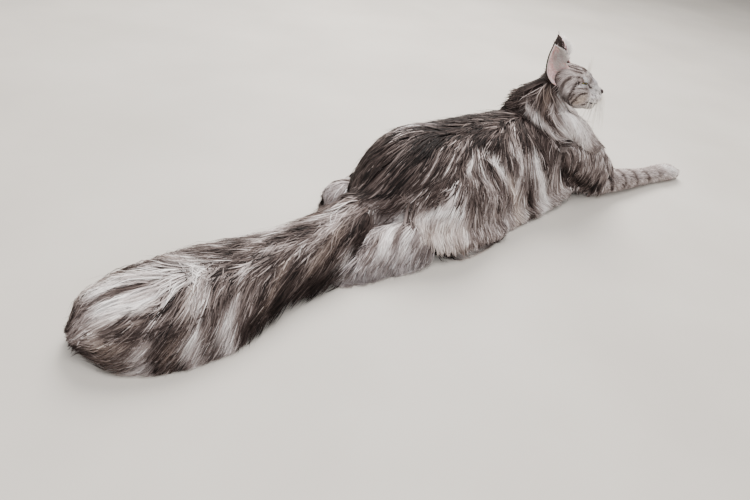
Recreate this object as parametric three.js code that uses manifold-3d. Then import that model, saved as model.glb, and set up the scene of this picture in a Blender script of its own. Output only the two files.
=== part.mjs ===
// A large long-haired silver tabby cat at rest: chest and belly on the floor, forelegs out in
// front, head up and turned to its right, the plumed tail laid straight out behind.
// Millimetres, +X towards the chest, +Y the cat's left, +Z up. The origin is on the floor under
// the middle of the belly. Each node is a core of flesh and undercoat with flat tapered locks.
import * as THREE from "three";
import { mergeVertices } from "three/addons/utils/BufferGeometryUtils.js";
import Module from "manifold-3d";

const wasm = await Module();
wasm.setup();

// Driving sizes
const GAP = 0.3; // clearance kept between neighbouring nodes
const FLOOR = 0;
const SEED = 7;
const HEAD_AT = [179, -36, 200]; // middle of the skull
const HEAD_TURN = -59; // degrees from straight ahead, to the cat's right
const HEAD_LIFT = 10; // degrees that the nose points above level
const EYE_RADIUS = 10.5;
const EYE_AT = [8, 13.5, 4]; // in the head's own frame, the left one
const EYE_GAZE = [0.7, 0.71, 0.02];
const LID = 2; // thickness of a lid
const COAT = { trunk: 20, neck: 26, bib: 14, tail: 34, haunch: 14, arm: 8, foot: 0 };
const CORE_SHARE = 0.5; // of the coat's depth, taken up by the core under the locks
const ROOT_DEPTH = 5; // of a lock's root under the core's surface
const LEAST_HALF = 3; // of a core's section
const END_CAP = 0.35; // how far a form's end is drawn out, as a share of its half-width
const CLASH_SHARE = 0.05; // of a lock's volume that may cross another node's core
const TIP_RISE = 0.9; // of the coat's depth, to which a lock's tip rises
const TIP_GROWTH = 4; // clearances by which a grown lock is longer than the bare one
const JITTER = { share: 0.012, size: 0.15, turn: 0.12 }; // largest random changes of a lock
const MOUTH_RADIUS = 1.2;
const LIP_RADIUS = 0.9; // of the groove from the nose to the mouth
const NOSTRIL = { radius: 1.7, at: [45, 3.2, -11], scale: [1.4, 1, 0.8] };
const SKULL_SIDES = [34, 22];
const ROUGH_SKULL_SIDES = [24, 16];
const BALL_SIDES = [14, 9];
const TOE_SIDES = [8, 5];
const TOE_HALF = [9, 5.4, 8];
const EAR_COLUMNS = 8;

// Along a lock: share of its length, of its height over the core, of its width and thickness.
const LOCK_SHAPE = [
  [0, 0, 0.6, 0.8],
  [0.32, 0.34, 1, 1],
  [0.66, 0.78, 0.82, 0.7],
];

// Middles of the four toes of a right foot.
const FORE_TOES = [
  [474, -122, 9],
  [482, -128, 9],
  [483, -136, 9],
  [476, -143, 9],
];
const HIND_TOES = [
  [-26, -92, 8],
  [-19, -98, 8],
  [-18, -105, 8],
  [-25, -111, 8],
];

const vec = (p) => new THREE.Vector3(...p);
const rad = THREE.MathUtils.degToRad;
const lerp = THREE.MathUtils.lerp;

// Stations of each form: x, y, z of its middle, half-width, height above and depth below it,
// all out to the tips of the coat.
const TRUNK = [
  [-232, 2, 52, 26, 20, 45],
  [-216, 2, 50, 52, 42, 60],
  [-190, 1, 48, 78, 72, 68],
  [-160, 0, 46, 96, 96, 68],
  [-120, 0, 45, 104, 107, 68],
  [-70, 0, 45, 104, 105, 68],
  [0, 0, 45, 100, 104, 68],
  [60, 0, 45, 97, 103, 68],
  [110, 0, 46, 94, 104, 68],
  [150, 0, 48, 90, 100, 68],
  [186, -2, 52, 82, 88, 66],
  [220, -6, 56, 66, 70, 62],
  [244, -10, 60, 40, 44, 50],
];
const NECK = [
  [140, 4, 70, 56, 60, 46],
  [144, 2, 100, 66, 74, 56],
  [149, -3, 130, 64, 70, 58],
  [152, -8, 155, 57, 56, 55],
  [154, -12, 178, 48, 40, 48],
  [156, -12, 198, 34, 26, 38],
  [158, -12, 211, 20, 14, 24],
];
const TAIL = [
  [-186, 2, 66, 30, 28, 30],
  [-230, -6, 50, 40, 34, 45],
  [-280, -22, 38, 46, 38, 45],
  [-330, -32, 30, 49, 42, 42],
  [-380, -35, 27, 52, 44, 42],
  [-440, -38, 25, 65, 46, 42],
  [-500, -42, 25, 74, 48, 42],
  [-540, -41, 25, 73, 48, 42],
  [-582, -36, 24, 65, 44, 42],
  [-616, -33, 22, 48, 35, 36],
  [-636, -31, 20, 28, 20, 28],
];
const TAIL_CUTS = [-318, -452]; // x of the two cuts across the tail
const BIB = [
  [150, -34, 160, 26, 12, 20],
  [165, -50, 146, 34, 16, 26],
  [188, -62, 124, 40, 18, 32],
  [214, -68, 106, 36, 16, 30],
  [232, -71, 96, 20, 10, 18],
];
const THIGH = [
  [-190, -54, 62, 24, 30, 40],
  [-165, -62, 62, 38, 50, 60],
  [-120, -70, 58, 47, 58, 60],
  [-75, -72, 52, 44, 52, 55],
  [-35, -72, 44, 36, 42, 46],
  [-10, -72, 38, 20, 24, 32],
];
const LEFT_THIGH = [
  [-182, -40, 56, 22, 26, 40],
  [-158, -48, 54, 36, 44, 55],
  [-118, -58, 50, 46, 50, 55],
  [-75, -64, 46, 44, 46, 50],
  [-35, -66, 42, 36, 38, 46],
  [-10, -68, 38, 20, 22, 32],
];
const HIND_FOOT = [
  [-168, -84, 18, 14, 16, 20],
  [-150, -90, 20, 24, 24, 26],
  [-110, -96, 18, 26, 24, 26],
  [-70, -98, 14, 22, 17, 22],
  [-40, -100, 12, 20, 13, 20],
  [-22, -101, 10, 14, 9, 16],
];
const BREECH = [
  [-150, -66, 40, 34, 34, 46],
  [-195, -70, 32, 34, 32, 40],
  [-245, -66, 22, 30, 26, 30],
  [-290, -66, 14, 24, 18, 24],
  [-325, -70, 8, 14, 10, 16],
];
const LEFT_BREECH = [
  [-140, -56, 38, 30, 26, 44],
  [-180, -62, 34, 30, 28, 40],
  [-215, -66, 30, 26, 24, 34],
  [-240, -66, 22, 16, 14, 24],
];
const UPPER_ARM = [
  [140, -52, 88, 26, 30, 30],
  [170, -62, 82, 36, 42, 42],
  [210, -72, 66, 38, 44, 46],
  [246, -84, 44, 34, 38, 46],
  [274, -94, 28, 24, 24, 34],
];
const FOREARM = [
  [232, -88, 22, 18, 22, 26],
  [250, -92, 24, 25, 24, 28],
  [300, -104, 22, 23, 21, 25],
  [360, -114, 18, 19, 17, 22],
  [410, -121, 17, 17, 15, 22],
  [440, -125, 17, 20, 15, 22],
  [466, -129, 15, 21, 14, 20],
  [482, -132, 12, 16, 10, 16],
];

// A closed mesh through rings of points, each end drawn to a point. With no first point, the
// first ring is the edge of a thin band, closed straight across.
function loftGeometry(rings, first, last) {
  const n = rings[0].length;
  const index = [];
  for (let i = 0; i + 1 < rings.length; i++) {
    for (let j = 0; j < n; j++) {
      const a = i * n + j;
      const b = i * n + ((j + 1) % n);
      index.push(a, b + n, a + n, a, b, b + n);
    }
  }
  const count = rings.length * n;
  for (let j = 0; j < n; j++) {
    const k = (j + 1) % n;
    index.push(count, count - n + j, count - n + k);
    if (first) index.push(count + 1, k, j);
  }
  for (let j = 0; !first && j + 1 < n / 2; j++) {
    index.push(j, n - 1 - j, j + 1, j + 1, n - 1 - j, n - 2 - j);
  }
  const points = [...rings.flat(), last];
  if (first) points.push(first);
  const geometry = new THREE.BufferGeometry().setFromPoints(points);
  geometry.setIndex(index);
  return geometry;
}

function solidOf(geometry) {
  const bare = geometry.index ? geometry.toNonIndexed() : geometry.clone();
  bare.deleteAttribute("normal");
  bare.deleteAttribute("uv");
  const merged = mergeVertices(bare, 1e-4);
  const solid = new wasm.Manifold(
    new wasm.Mesh({
      numProp: 3,
      vertProperties: new Float32Array(merged.attributes.position.array),
      triVerts: new Uint32Array(merged.index.array),
    }),
  );
  if (solid.volume() <= 0) throw new Error("a form is inside out");
  return solid;
}

const union = (solids) => (solids.length > 1 ? wasm.Manifold.union(solids) : solids[0]);

// A repeatable draw between -1 and 1, by the minimal standard generator.
let state = SEED;
function draw() {
  state = (state * 16807) % 2147483647;
  return (state / 2147483647) * 2 - 1;
}

function largest(solid) {
  const parts = solid.decompose();
  return parts.reduce((best, part) => (part.volume() > best.volume() ? part : best));
}

// A soft form swept through stations, with sections square to its path.
class Form {
  constructor(stations, options) {
    const { up = [0, 0, 1], sides, step, power = 2.2, under = power, mirror = false, coat } = options;
    const side = mirror ? -1 : 1;
    this.coat = coat;
    this.up = vec(up);
    this.sides = sides;
    this.power = { above: power, below: under };
    const middles = stations.map(([x, y, z]) => new THREE.Vector3(x, side * y, z));
    const sizes = stations.map((station) => vec(station.slice(3)));
    this.path = new THREE.CatmullRomCurve3(middles, false, "centripetal");
    this.sizes = new THREE.CatmullRomCurve3(sizes, false, "centripetal");
    this.length = this.path.getLength();
    this.steps = Math.max(4, Math.round(this.length / step));
  }

  // Middle, directions and half-sizes of the section at a share of the path's length. Past the
  // ends the path runs on straight.
  section(share) {
    const inside = THREE.MathUtils.clamp(share, 0, 1);
    const t = this.path.getUtoTmapping(inside);
    const along = this.path.getTangent(t);
    const across = new THREE.Vector3().crossVectors(this.up, along).normalize();
    const above = new THREE.Vector3().crossVectors(along, across).normalize();
    const middle = this.path.getPoint(t).addScaledVector(along, (share - inside) * this.length);
    return { middle, along, across, above, size: this.sizes.getPoint(t) };
  }

  // The point of the surface at a share of the length and an angle, moved out by lift.
  point(share, angle, lift = 0) {
    const { middle, across, above, size } = this.section(share);
    const sine = Math.sin(angle);
    const power = sine > 0 ? this.power.above : this.power.below;
    const round = (value) => Math.sign(value) * Math.abs(value) ** (2 / power);
    const height = sine > 0 ? size.y : size.z;
    return middle
      .addScaledVector(across, round(Math.cos(angle)) * Math.max(size.x + lift, LEAST_HALF))
      .addScaledVector(above, round(sine) * Math.max(height + lift, LEAST_HALF));
  }

  geometry(lift = 0) {
    const rings = [];
    for (let i = 0; i <= this.steps; i++) {
      const ring = [];
      for (let j = 0; j < this.sides; j++) {
        ring.push(this.point(i / this.steps, (j / this.sides) * 2 * Math.PI, lift));
      }
      rings.push(ring);
    }
    const start = this.section(0);
    const end = this.section(1);
    const reach = (size) => Math.max(size.x + lift, LEAST_HALF) * END_CAP;
    const first = start.middle.addScaledVector(start.along, -reach(start.size));
    const last = end.middle.addScaledVector(end.along, reach(end.size));
    return loftGeometry(rings, first, last);
  }

  // The flesh and undercoat, grown by a clearance.
  core(grow = 0) {
    return solidOf(this.geometry(grow - this.coat * CORE_SHARE));
  }
}

// A flat tapered lock that leaves its form at a share of the path and an angle, and lies along it
// for a run of so many millimetres while it turns by so many radians.
class Lock {
  constructor(form, { share, angle, run, turn, wide, thick }) {
    Object.assign(this, { form, share, angle, run, turn, wide, thick });
  }

  // The lock's middle line at a share of its length and of its height, moved out by lift.
  place(s, rise, lift = 0) {
    const { form } = this;
    const height = lerp(-form.coat * CORE_SHARE, 0, rise) - (s === 0 ? ROOT_DEPTH : 0);
    const share = this.share + (this.run * s) / form.length;
    return form.point(share, this.angle + this.turn * s, height + lift);
  }

  solid(grow = 0) {
    const tip = this.place(1, TIP_RISE);
    const spine = LOCK_SHAPE.map(([s, rise]) => this.place(s, rise));
    const rings = LOCK_SHAPE.map(([s, rise, wide, thick], i) => {
      const along = (spine[i + 1] ?? tip).clone().sub(spine[i]).normalize();
      const over = this.place(s, rise, ROOT_DEPTH).sub(spine[i]);
      const across = new THREE.Vector3().crossVectors(over, along).normalize();
      const out = new THREE.Vector3().crossVectors(along, across).normalize();
      const x = (this.wide * wide) / 2 + grow;
      const y = (this.thick * thick) / 2 + grow;
      return [[x, 0], [0, y], [-x, 0], [0, -y]].map(([a, b]) =>
        spine[i].clone().addScaledVector(across, a).addScaledVector(out, b),
      );
    });
    const ahead = tip.clone().sub(spine.at(-1)).normalize();
    const end = tip.clone().addScaledVector(ahead, grow * TIP_GROWTH);
    return solidOf(loftGeometry(rings, null, end));
  }
}

// Rows of locks over a form: at each share, so many between two angles. Every other row is
// moved sideways by half a lock, and the locks spread from the angle given as the parting.
function rowsOf(form, { shares, angles, count, run, wide, thick, parting, spread }) {
  const locks = [];
  const gap = (angles[1] - angles[0]) / count;
  shares.forEach((rowShare, row) => {
    for (let i = 0; i < count; i++) {
      const angle = rad(angles[0] + gap * (i + (row % 2 ? 0.75 : 0.25)));
      const turn = (angle - rad(parting)) * spread + draw() * JITTER.turn;
      const size = 1 + draw() * JITTER.size;
      const share = rowShare + draw() * JITTER.share;
      locks.push(new Lock(form, { share, angle, turn, run: run * size, wide: wide * size, thick }));
    }
  });
  return locks;
}

// The head's own frame: x to the nose, y its left, z its crown.
const headFrame = new THREE.Matrix4()
  .makeRotationFromEuler(new THREE.Euler(0, -rad(HEAD_LIFT), rad(HEAD_TURN), "ZYX"))
  .setPosition(vec(HEAD_AT));

// Rounded lumps of the skull and face: middle and half-sizes, in the head's frame.
const FACE = [
  [[-16, 0, 3], [38, 32, 27]],
  [[2, 0, 8], [16, 19, 13]],
  [[2, 23, -13], [23, 14, 18]],
  [[2, -23, -13], [23, 14, 18]],
  [[12, 12, 9], [10, 8, 6]],
  [[12, -12, 9], [10, 8, 6]],
  [[21, 0, 0], [13, 7, 8.5]],
  [[34, 0, -11], [8, 6, 6]],
  [[31, 8.5, -21], [11.5, 9.5, 9.5]],
  [[31, -8.5, -21], [11.5, 9.5, 9.5]],
  [[25, 0, -35.5], [9, 10, 8]],
  [[4, 0, -29], [22, 19, 14]],
];
const FACE_BLEND = 3;

function ellipsoidDistance(p, [middle, half]) {
  const q = new THREE.Vector3(p.x - middle[0], p.y - middle[1], p.z - middle[2]);
  const near = Math.hypot(q.x / half[0], q.y / half[1], q.z / half[2]);
  const steep = Math.hypot(q.x / half[0] ** 2, q.y / half[1] ** 2, q.z / half[2] ** 2);
  return steep > 0 ? (near * (near - 1)) / steep : -Math.min(...half);
}

function faceDistance(p) {
  let sum = 0;
  for (const lump of FACE) sum += Math.exp(-ellipsoidDistance(p, lump) / FACE_BLEND);
  return -Math.log(sum) * FACE_BLEND;
}

// The point where a ray out of the head's middle leaves the face.
function facePoint(direction, lift = 0) {
  let near = 0;
  let far = 90;
  for (let i = 0; i < 26; i++) {
    const half = (near + far) / 2;
    if (faceDistance(direction.clone().multiplyScalar(half)) < 0) near = half;
    else far = half;
  }
  return direction.clone().multiplyScalar(near + lift);
}

function skullGeometry(lift, sides) {
  const geometry = new THREE.SphereGeometry(1, ...sides);
  geometry.rotateZ(-Math.PI / 2);
  const position = geometry.attributes.position;
  const point = new THREE.Vector3();
  for (let i = 0; i < position.count; i++) {
    point.fromBufferAttribute(position, i).normalize();
    position.setXYZ(i, ...facePoint(point, lift).toArray());
  }
  return geometry;
}

const placed = (geometry) => solidOf(geometry.applyMatrix4(headFrame));

function ball(radius, at, scale = [1, 1, 1], sides = BALL_SIDES) {
  const geometry = new THREE.SphereGeometry(radius, ...sides);
  geometry.scale(...scale);
  return geometry.translate(...at);
}

const flip = (p, side) => [p[0], p[1] * side, p[2]];

// A thin rod along points, for the grooves of the mouth.
function rod(points, radius) {
  const curve = new THREE.CatmullRomCurve3(points.map(vec));
  const section = new THREE.Shape();
  section.absarc(0, 0, radius, 0, 2 * Math.PI);
  return new THREE.ExtrudeGeometry(section, { extrudePath: curve, steps: 8, curveSegments: 3 });
}

// The gap between the lids: an almond prism that points along the gaze, its outer corner higher.
const OPENING = { inner: [-9.5, -1.5], above: [-2, 5.5], outer: [9, 1.5], below: [1, -5.5] };
const OPENING_DEPTH = 16;

function eyeOpening(side) {
  const corner = ([x, y]) => [x * side, y];
  const shape = new THREE.Shape();
  shape.moveTo(...corner(OPENING.inner));
  shape.quadraticCurveTo(...corner(OPENING.above), ...corner(OPENING.outer));
  shape.quadraticCurveTo(...corner(OPENING.below), ...corner(OPENING.inner));
  const extrusion = { depth: OPENING_DEPTH, bevelEnabled: false, curveSegments: 8 };
  const geometry = new THREE.ExtrudeGeometry(shape, extrusion);
  const gaze = vec(flip(EYE_GAZE, side)).normalize();
  const across = new THREE.Vector3().crossVectors(new THREE.Vector3(0, 0, 1), gaze).normalize();
  const above = new THREE.Vector3().crossVectors(gaze, across);
  geometry.applyMatrix4(new THREE.Matrix4().makeBasis(across, above, gaze));
  return geometry.translate(...flip(EYE_AT, side));
}

const MOUTH = [
  [46, 0, -24],
  [42, 8, -31],
  [30, 17, -33],
  [17, 20, -31],
];

const UPPER_LIP = [
  [46, 0, -13],
  [46, 0, -18],
  [46, 0, -25],
];
const ROUGH_MARGIN = 1; // by which the coarser skull stands out past the fine one

// Grown by a clearance it is coarser, without its openings.
function headSolid(grow = 0) {
  if (grow > 0) return placed(skullGeometry(grow + ROUGH_MARGIN, ROUGH_SKULL_SIDES));
  let head = placed(skullGeometry(0, SKULL_SIDES));
  for (const side of [1, -1]) {
    const at = flip(EYE_AT, side);
    const mouth = MOUTH.map((p) => flip(p, side));
    head = head
      .add(placed(ball(EYE_RADIUS + LID + GAP, at)))
      .subtract(placed(ball(EYE_RADIUS + GAP, at)))
      .subtract(placed(eyeOpening(side)))
      .subtract(placed(rod(mouth, MOUTH_RADIUS)))
      .subtract(placed(ball(NOSTRIL.radius, flip(NOSTRIL.at, side), NOSTRIL.scale)));
  }
  return head.subtract(placed(rod(UPPER_LIP, LIP_RADIUS)));
}

// An ear is a cupped leaf between an outer and an inner edge that meet at its tip. Here the left
// one, from the skull upwards.
const EAR = {
  outer: [
    [-30, 33, -2],
    [-38, 43, 8],
    [-46, 43, 27],
    [-46, 41, 48],
    [-40, 38, 68],
  ],
  inner: [
    [-13, 14, 24],
    [-20, 20, 37],
    [-26, 26, 51],
    [-33, 32, 61],
    [-40, 38, 68],
  ],
  cup: 13,
  thick: 2.6,
  shares: [0, 0.18, 0.36, 0.54, 0.72, 0.88],
};
const EAR_GROWTH = { wide: 0.07, thick: 1.6 }; // of a grown ear, for each millimetre of clearance

function earGeometry(side, grow) {
  const edgeOf = (points) => new THREE.CatmullRomCurve3(points.map(vec), false, "centripetal");
  const outerEdge = edgeOf(EAR.outer);
  const innerEdge = edgeOf(EAR.inner);
  const tip = vec(EAR.outer.at(-1));
  const full = outerEdge.getPoint(EAR.shares[1]).distanceTo(innerEdge.getPoint(EAR.shares[1]));
  const reach = 1 + grow * EAR_GROWTH.wide;
  const rings = EAR.shares.map((u) => {
    const middle = outerEdge.getPoint(u).add(innerEdge.getPoint(u)).multiplyScalar(0.5);
    const across = outerEdge.getPoint(u).sub(middle);
    const back = new THREE.Vector3().crossVectors(across, tip.clone().sub(middle)).normalize();
    if (back.x > 0) back.negate();
    const share = Math.min(1, (across.length() * 2) / full);
    const half = (EAR.thick * (1 - 0.4 * u)) / 2 + grow * EAR_GROWTH.thick;
    const place = (j, out) => {
      const v = (2 * j) / EAR_COLUMNS - 1;
      return middle
        .clone()
        .addScaledVector(across, v * reach)
        .addScaledVector(back, EAR.cup * (1 - v * v) * share + out);
    };
    const ring = [];
    for (let j = 0; j <= EAR_COLUMNS; j++) ring.push(place(j, half));
    for (let j = EAR_COLUMNS; j >= 0; j--) ring.push(place(j, -half));
    return ring.map((p) => vec(flip(p.toArray(), side)));
  });
  const ahead = tip.clone().sub(vec(EAR.outer.at(-2))).normalize();
  const last = vec(flip(tip.addScaledVector(ahead, grow * TIP_GROWTH).toArray(), side));
  if (side > 0) rings.forEach((ring) => ring.reverse());
  return loftGeometry(rings, null, last);
}

const trunk = new Form(TRUNK, { coat: COAT.trunk, sides: 20, step: 40, power: 2.05, under: 3.2 });
const neck = new Form(NECK, { coat: COAT.neck, up: [1, 0, 0], sides: 16, step: 26, power: 2 });
const bib = new Form(BIB, { coat: COAT.bib, up: [1, -1, 1], sides: 10, step: 30, power: 2 });
const tail = new Form(TAIL, { coat: COAT.tail, sides: 12, step: 44 });

function legForms(mirror) {
  return {
    thigh: new Form(mirror ? LEFT_THIGH : THIGH, { coat: COAT.haunch, mirror, sides: 14, step: 34 }),
    breech: new Form(mirror ? LEFT_BREECH : BREECH, { coat: COAT.haunch, mirror, sides: 10, step: 40 }),
    foot: new Form(HIND_FOOT, { coat: COAT.foot, mirror, sides: 12, step: 24 }),
    upperArm: new Form(UPPER_ARM, { coat: COAT.arm, mirror, sides: 12, step: 28 }),
    forearm: new Form(FOREARM, { coat: COAT.foot, mirror, sides: 12, step: 28 }),
  };
}
const right = legForms(false);
const left = legForms(true);

function slab(low, high) {
  const size = vec(high).sub(vec(low));
  const geometry = new THREE.BoxGeometry(...size.toArray());
  return solidOf(geometry.translate(...vec(low).addScaledVector(size, 0.5).toArray()));
}

const FAR = 2000;
const underFloor = slab([-FAR, -FAR, -FAR], [FAR, FAR, FLOOR]);

// The tail's core between two values of x.
function tailLength(behind, ahead) {
  return (grow) =>
    tail
      .core(grow)
      .subtract(slab([-FAR, -FAR, -FAR], [behind - grow, FAR, FAR]))
      .subtract(slab([ahead + grow, -FAR, -FAR], [FAR, FAR, FAR]));
}

const coresOf = (...forms) => (grow) => union(forms.map((form) => form.core(grow)));

function evenly(first, last, count) {
  return Array.from({ length: count }, (_, i) => lerp(first, last, i / (count - 1)));
}

// The forms of a limb that ends in toes.
function limbOf(side, toes, ...forms) {
  const middles = toes.map((toe) => flip(toe, side < 0 ? 1 : -1));
  return (grow) => {
    const half = TOE_HALF.map((size) => size + grow);
    const bumps = middles.map((middle) => solidOf(ball(1, middle, half, TOE_SIDES)));
    return union([...forms.map((form) => form.core(grow)), ...bumps]);
  };
}

// Locks along the tail from one share of its length to another.
const tailLocks = (first, last, rows) =>
  rowsOf(tail, {
    shares: evenly(first, last, rows),
    angles: [-8, 188],
    count: 6,
    run: 84,
    wide: 33,
    thick: 5,
    parting: 90,
    spread: 0.3,
  });

function haunchLocks(forms, side) {
  const outward = side < 0 ? [84, 190] : [-10, 96];
  const rearward = side < 0 ? [-12, 110] : [70, 192];
  return [
    ...rowsOf(forms.thigh, {
      shares: [0.84, 0.5],
      angles: outward,
      count: 4,
      run: -72,
      wide: 30,
      thick: 5,
      parting: 90,
      spread: 0.35,
    }),
    ...rowsOf(forms.breech, {
      shares: [0.1, 0.36, 0.62],
      angles: rearward,
      count: 3,
      run: 62,
      wide: 24,
      thick: 4,
      parting: 90,
      spread: 0.2,
    }),
  ];
}

const elbowLocks = (forms, side) =>
  rowsOf(forms.upperArm, {
    shares: [0.95, 0.7],
    angles: side < 0 ? [150, 210] : [-30, 30],
    count: 2,
    run: -46,
    wide: 18,
    thick: 4,
    parting: 90,
    spread: 0.15,
  });

// What each node is made of, in the order in which they claim their space: its core, which takes
// a clearance to grow by, and its locks.
const plan = {
  head: { core: headSolid, locks: [] },
  ear_right: { core: (grow) => placed(earGeometry(-1, grow)), locks: [] },
  ear_left: { core: (grow) => placed(earGeometry(1, grow)), locks: [] },
  neck: {
    core: coresOf(neck, bib),
    locks: [
      ...rowsOf(bib, {
        shares: [0.1, 0.4, 0.7],
        angles: [0, 180],
        count: 3,
        run: 50,
        wide: 26,
        thick: 4,
        parting: 90,
        spread: 0.15,
      }),
      ...rowsOf(neck, {
        shares: [0.92, 0.72, 0.5],
        angles: [0, 360],
        count: 9,
        run: -62,
        wide: 34,
        thick: 5,
        parting: 90,
        spread: 0,
      }),
    ],
  },
  torso: {
    core: coresOf(trunk),
    locks: rowsOf(trunk, {
      shares: evenly(0.93, 0.12, 7),
      angles: [-12, 192],
      count: 9,
      run: -96,
      wide: 40,
      thick: 5,
      parting: 90,
      spread: 0.22,
    }),
  },
  hindleg_right: {
    core: limbOf(-1, HIND_TOES, right.thigh, right.foot, right.breech),
    locks: haunchLocks(right, -1),
  },
  hindleg_left: {
    core: limbOf(1, HIND_TOES, left.thigh, left.foot, left.breech),
    locks: haunchLocks(left, 1),
  },
  foreleg_right: {
    core: limbOf(-1, FORE_TOES, right.upperArm, right.forearm),
    locks: elbowLocks(right, -1),
  },
  foreleg_left: {
    core: limbOf(1, FORE_TOES, left.upperArm, left.forearm),
    locks: elbowLocks(left, 1),
  },
  tail_root: {
    core: tailLength(TAIL_CUTS[0], FAR / 2),
    locks: tailLocks(0.08, 0.22, 2),
  },
  tail_middle: {
    core: tailLength(TAIL_CUTS[1], TAIL_CUTS[0] - GAP),
    locks: tailLocks(0.34, 0.51, 3),
  },
  tail_plume: {
    core: tailLength(-FAR / 2, TAIL_CUTS[1] - GAP),
    locks: tailLocks(0.62, 0.79, 4),
  },
};

const FINISH = {
  coat: { color: 0x6f6a68, roughness: 0.9, metalness: 0 },
  eye: { color: 0x8c8a3a, roughness: 0.2, metalness: 0 },
  ear: { color: 0xb9a3a8, roughness: 0.8, metalness: 0 },
};
const part = new THREE.Group();

function addNode(name, solid) {
  const made = solid.getMesh();
  const position = new THREE.BufferAttribute(new Float32Array(made.vertProperties), 3);
  const index = new THREE.BufferAttribute(new Uint32Array(made.triVerts), 1);
  const geometry = new THREE.BufferGeometry();
  geometry.setAttribute("position", position);
  geometry.setIndex(index);
  geometry.computeVertexNormals();
  const finish = FINISH[name.split("_")[0]] ?? FINISH.coat;
  const mesh = new THREE.Mesh(geometry, new THREE.MeshStandardMaterial(finish));
  mesh.name = name;
  part.add(mesh);
}

const names = Object.keys(plan);
const cores = Object.fromEntries(names.map((name) => [name, plan[name].core(0)]));
const sameLimb = (a, b) => a.split("_")[0] === "tail" && b.split("_")[0] === "tail";

const boxOf = (solid) => new THREE.Box3(vec(solid.boundingBox().min), vec(solid.boundingBox().max));
const boxes = Object.fromEntries(names.map((name) => [name, boxOf(cores[name])]));

// A lock is kept where it stays clear of the other nodes' cores.
function isClear(lock, name) {
  const solid = lock.solid();
  const box = boxOf(solid);
  const others = names
    .filter((other) => other !== name && !sameLimb(other, name))
    .filter((other) => box.intersectsBox(boxes[other]));
  const limit = CLASH_SHARE * solid.volume();
  const clear = others.every((other) => {
    const shared = solid.intersect(cores[other]);
    const volume = shared.volume();
    shared.delete();
    return volume < limit;
  });
  solid.delete();
  return clear;
}

let taken = [];
for (const name of names) {
  const locks = plan[name].locks.filter((lock) => isClear(lock, name));
  const whole = union([cores[name], ...locks.map((lock) => lock.solid())]);
  const clear = taken.length ? whole.subtract(union(taken)) : whole;
  addNode(name, largest(clear.subtract(underFloor)));
  taken.push(union([plan[name].core(GAP), ...locks.map((lock) => lock.solid(GAP))]));
}
for (const side of [-1, 1]) {
  addNode(side < 0 ? "eye_right" : "eye_left", placed(ball(EYE_RADIUS, flip(EYE_AT, side))));
}

export default part;
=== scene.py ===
"""A large long-haired silver tabby cat at rest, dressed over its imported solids.

One skin is fused from swept forms close to the solids, inside them by half the coat's depth. The
coat is tens of thousands of closed tapered tufts that follow the lie of the fur, with their
markings in a colour attribute. Lengths are in millimetres until a mesh is made.
"""

from __future__ import annotations

import logging
import math
from dataclasses import dataclass
from enum import Enum
from typing import Callable, Protocol, Sequence

import bpy
import numpy as np
from mathutils import Matrix, Vector
from mathutils.kdtree import KDTree

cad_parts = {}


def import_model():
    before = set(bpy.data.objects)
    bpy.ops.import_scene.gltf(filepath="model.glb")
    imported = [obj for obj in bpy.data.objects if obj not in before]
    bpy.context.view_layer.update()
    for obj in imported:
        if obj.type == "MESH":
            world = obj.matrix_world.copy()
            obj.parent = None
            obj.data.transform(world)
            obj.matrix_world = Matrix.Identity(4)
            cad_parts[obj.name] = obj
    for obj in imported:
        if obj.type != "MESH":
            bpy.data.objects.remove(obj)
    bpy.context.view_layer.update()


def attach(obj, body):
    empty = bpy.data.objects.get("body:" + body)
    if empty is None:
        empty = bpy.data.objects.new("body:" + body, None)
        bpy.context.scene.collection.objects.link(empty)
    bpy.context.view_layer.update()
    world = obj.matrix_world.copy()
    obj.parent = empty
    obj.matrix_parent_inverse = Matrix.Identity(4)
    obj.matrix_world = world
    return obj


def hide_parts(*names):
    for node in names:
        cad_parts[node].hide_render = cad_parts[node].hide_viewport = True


Array = np.ndarray
Faces = list[tuple[int, ...]]
LOG = logging.getLogger("cat")
MM = 0.001
SEED = 11
FLOOR_CLEARANCE = 0.7
UV_NAME = "OFBake"
PATCH = 0.003  # size of a tuft's patch on the unwrap
COLOUR_NAME = "Coat"

# How the tufts of a pelt run, gather and rise.
LENGTHS = (0.75, 1.2)  # least and most share of the pelt's length
COMB_REACH = 7.0  # reach of a stroke's combing past its width
BIG_CLUMP = 7  # clumps that follow one more leader together
BIG_PULL = 0.3  # its pull, as a share of the clump's own
WAVE_TURN = 3.2  # radians that the wave turns through in a tuft's length
OWN_RISE = 0.6  # the rest of a tuft's rise is its leader's
STRAY_SHARE = 0.07
STRAY_LIFT = 10.0
OVERLAY = 6.0  # height of tips that pass over another form's skin
END_ROOM = 0.035  # share that tips may pass their limit by
END_DROP = 13.0  # most drop of the tips that pass it
HANG = 0.6  # drop of hair for each millimetre past a form's side
SPLAY = 0.4  # spread over the floor for each millimetre below it
MOST_SPLAY = 11.0

# The extra tufts along the strokes that comb.
LOCK_DENSITY = 0.2  # tufts a square millimetre of a stroke
LOCK_STARTS = (-0.02, 0.6)
LOCK_LENGTHS = (0.7, 1.1)
LOCK_SPREAD = 0.34
LOCK_TAPER = 0.45
LOCK_RISE = (0.55, 0.85)
LOCK_GATHER = 0.25

# How tones vary from tuft to tuft, and the painted shade that darkens each tuft towards its root.
MARK_DEPTH = 0.3  # share of the coat's depth at which the pattern is laid out
FINE_GRAIN = 3.3
SILVER_SHARE = 0.08
SILVER_GAIN = 1.1
FRINGE_BAND = (-14.0, 8.0)  # millimetres from a form's side over which the fringe's tone sets in
ROOT_SHADE, TIP_GAIN = 0.72, 0.28


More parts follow.
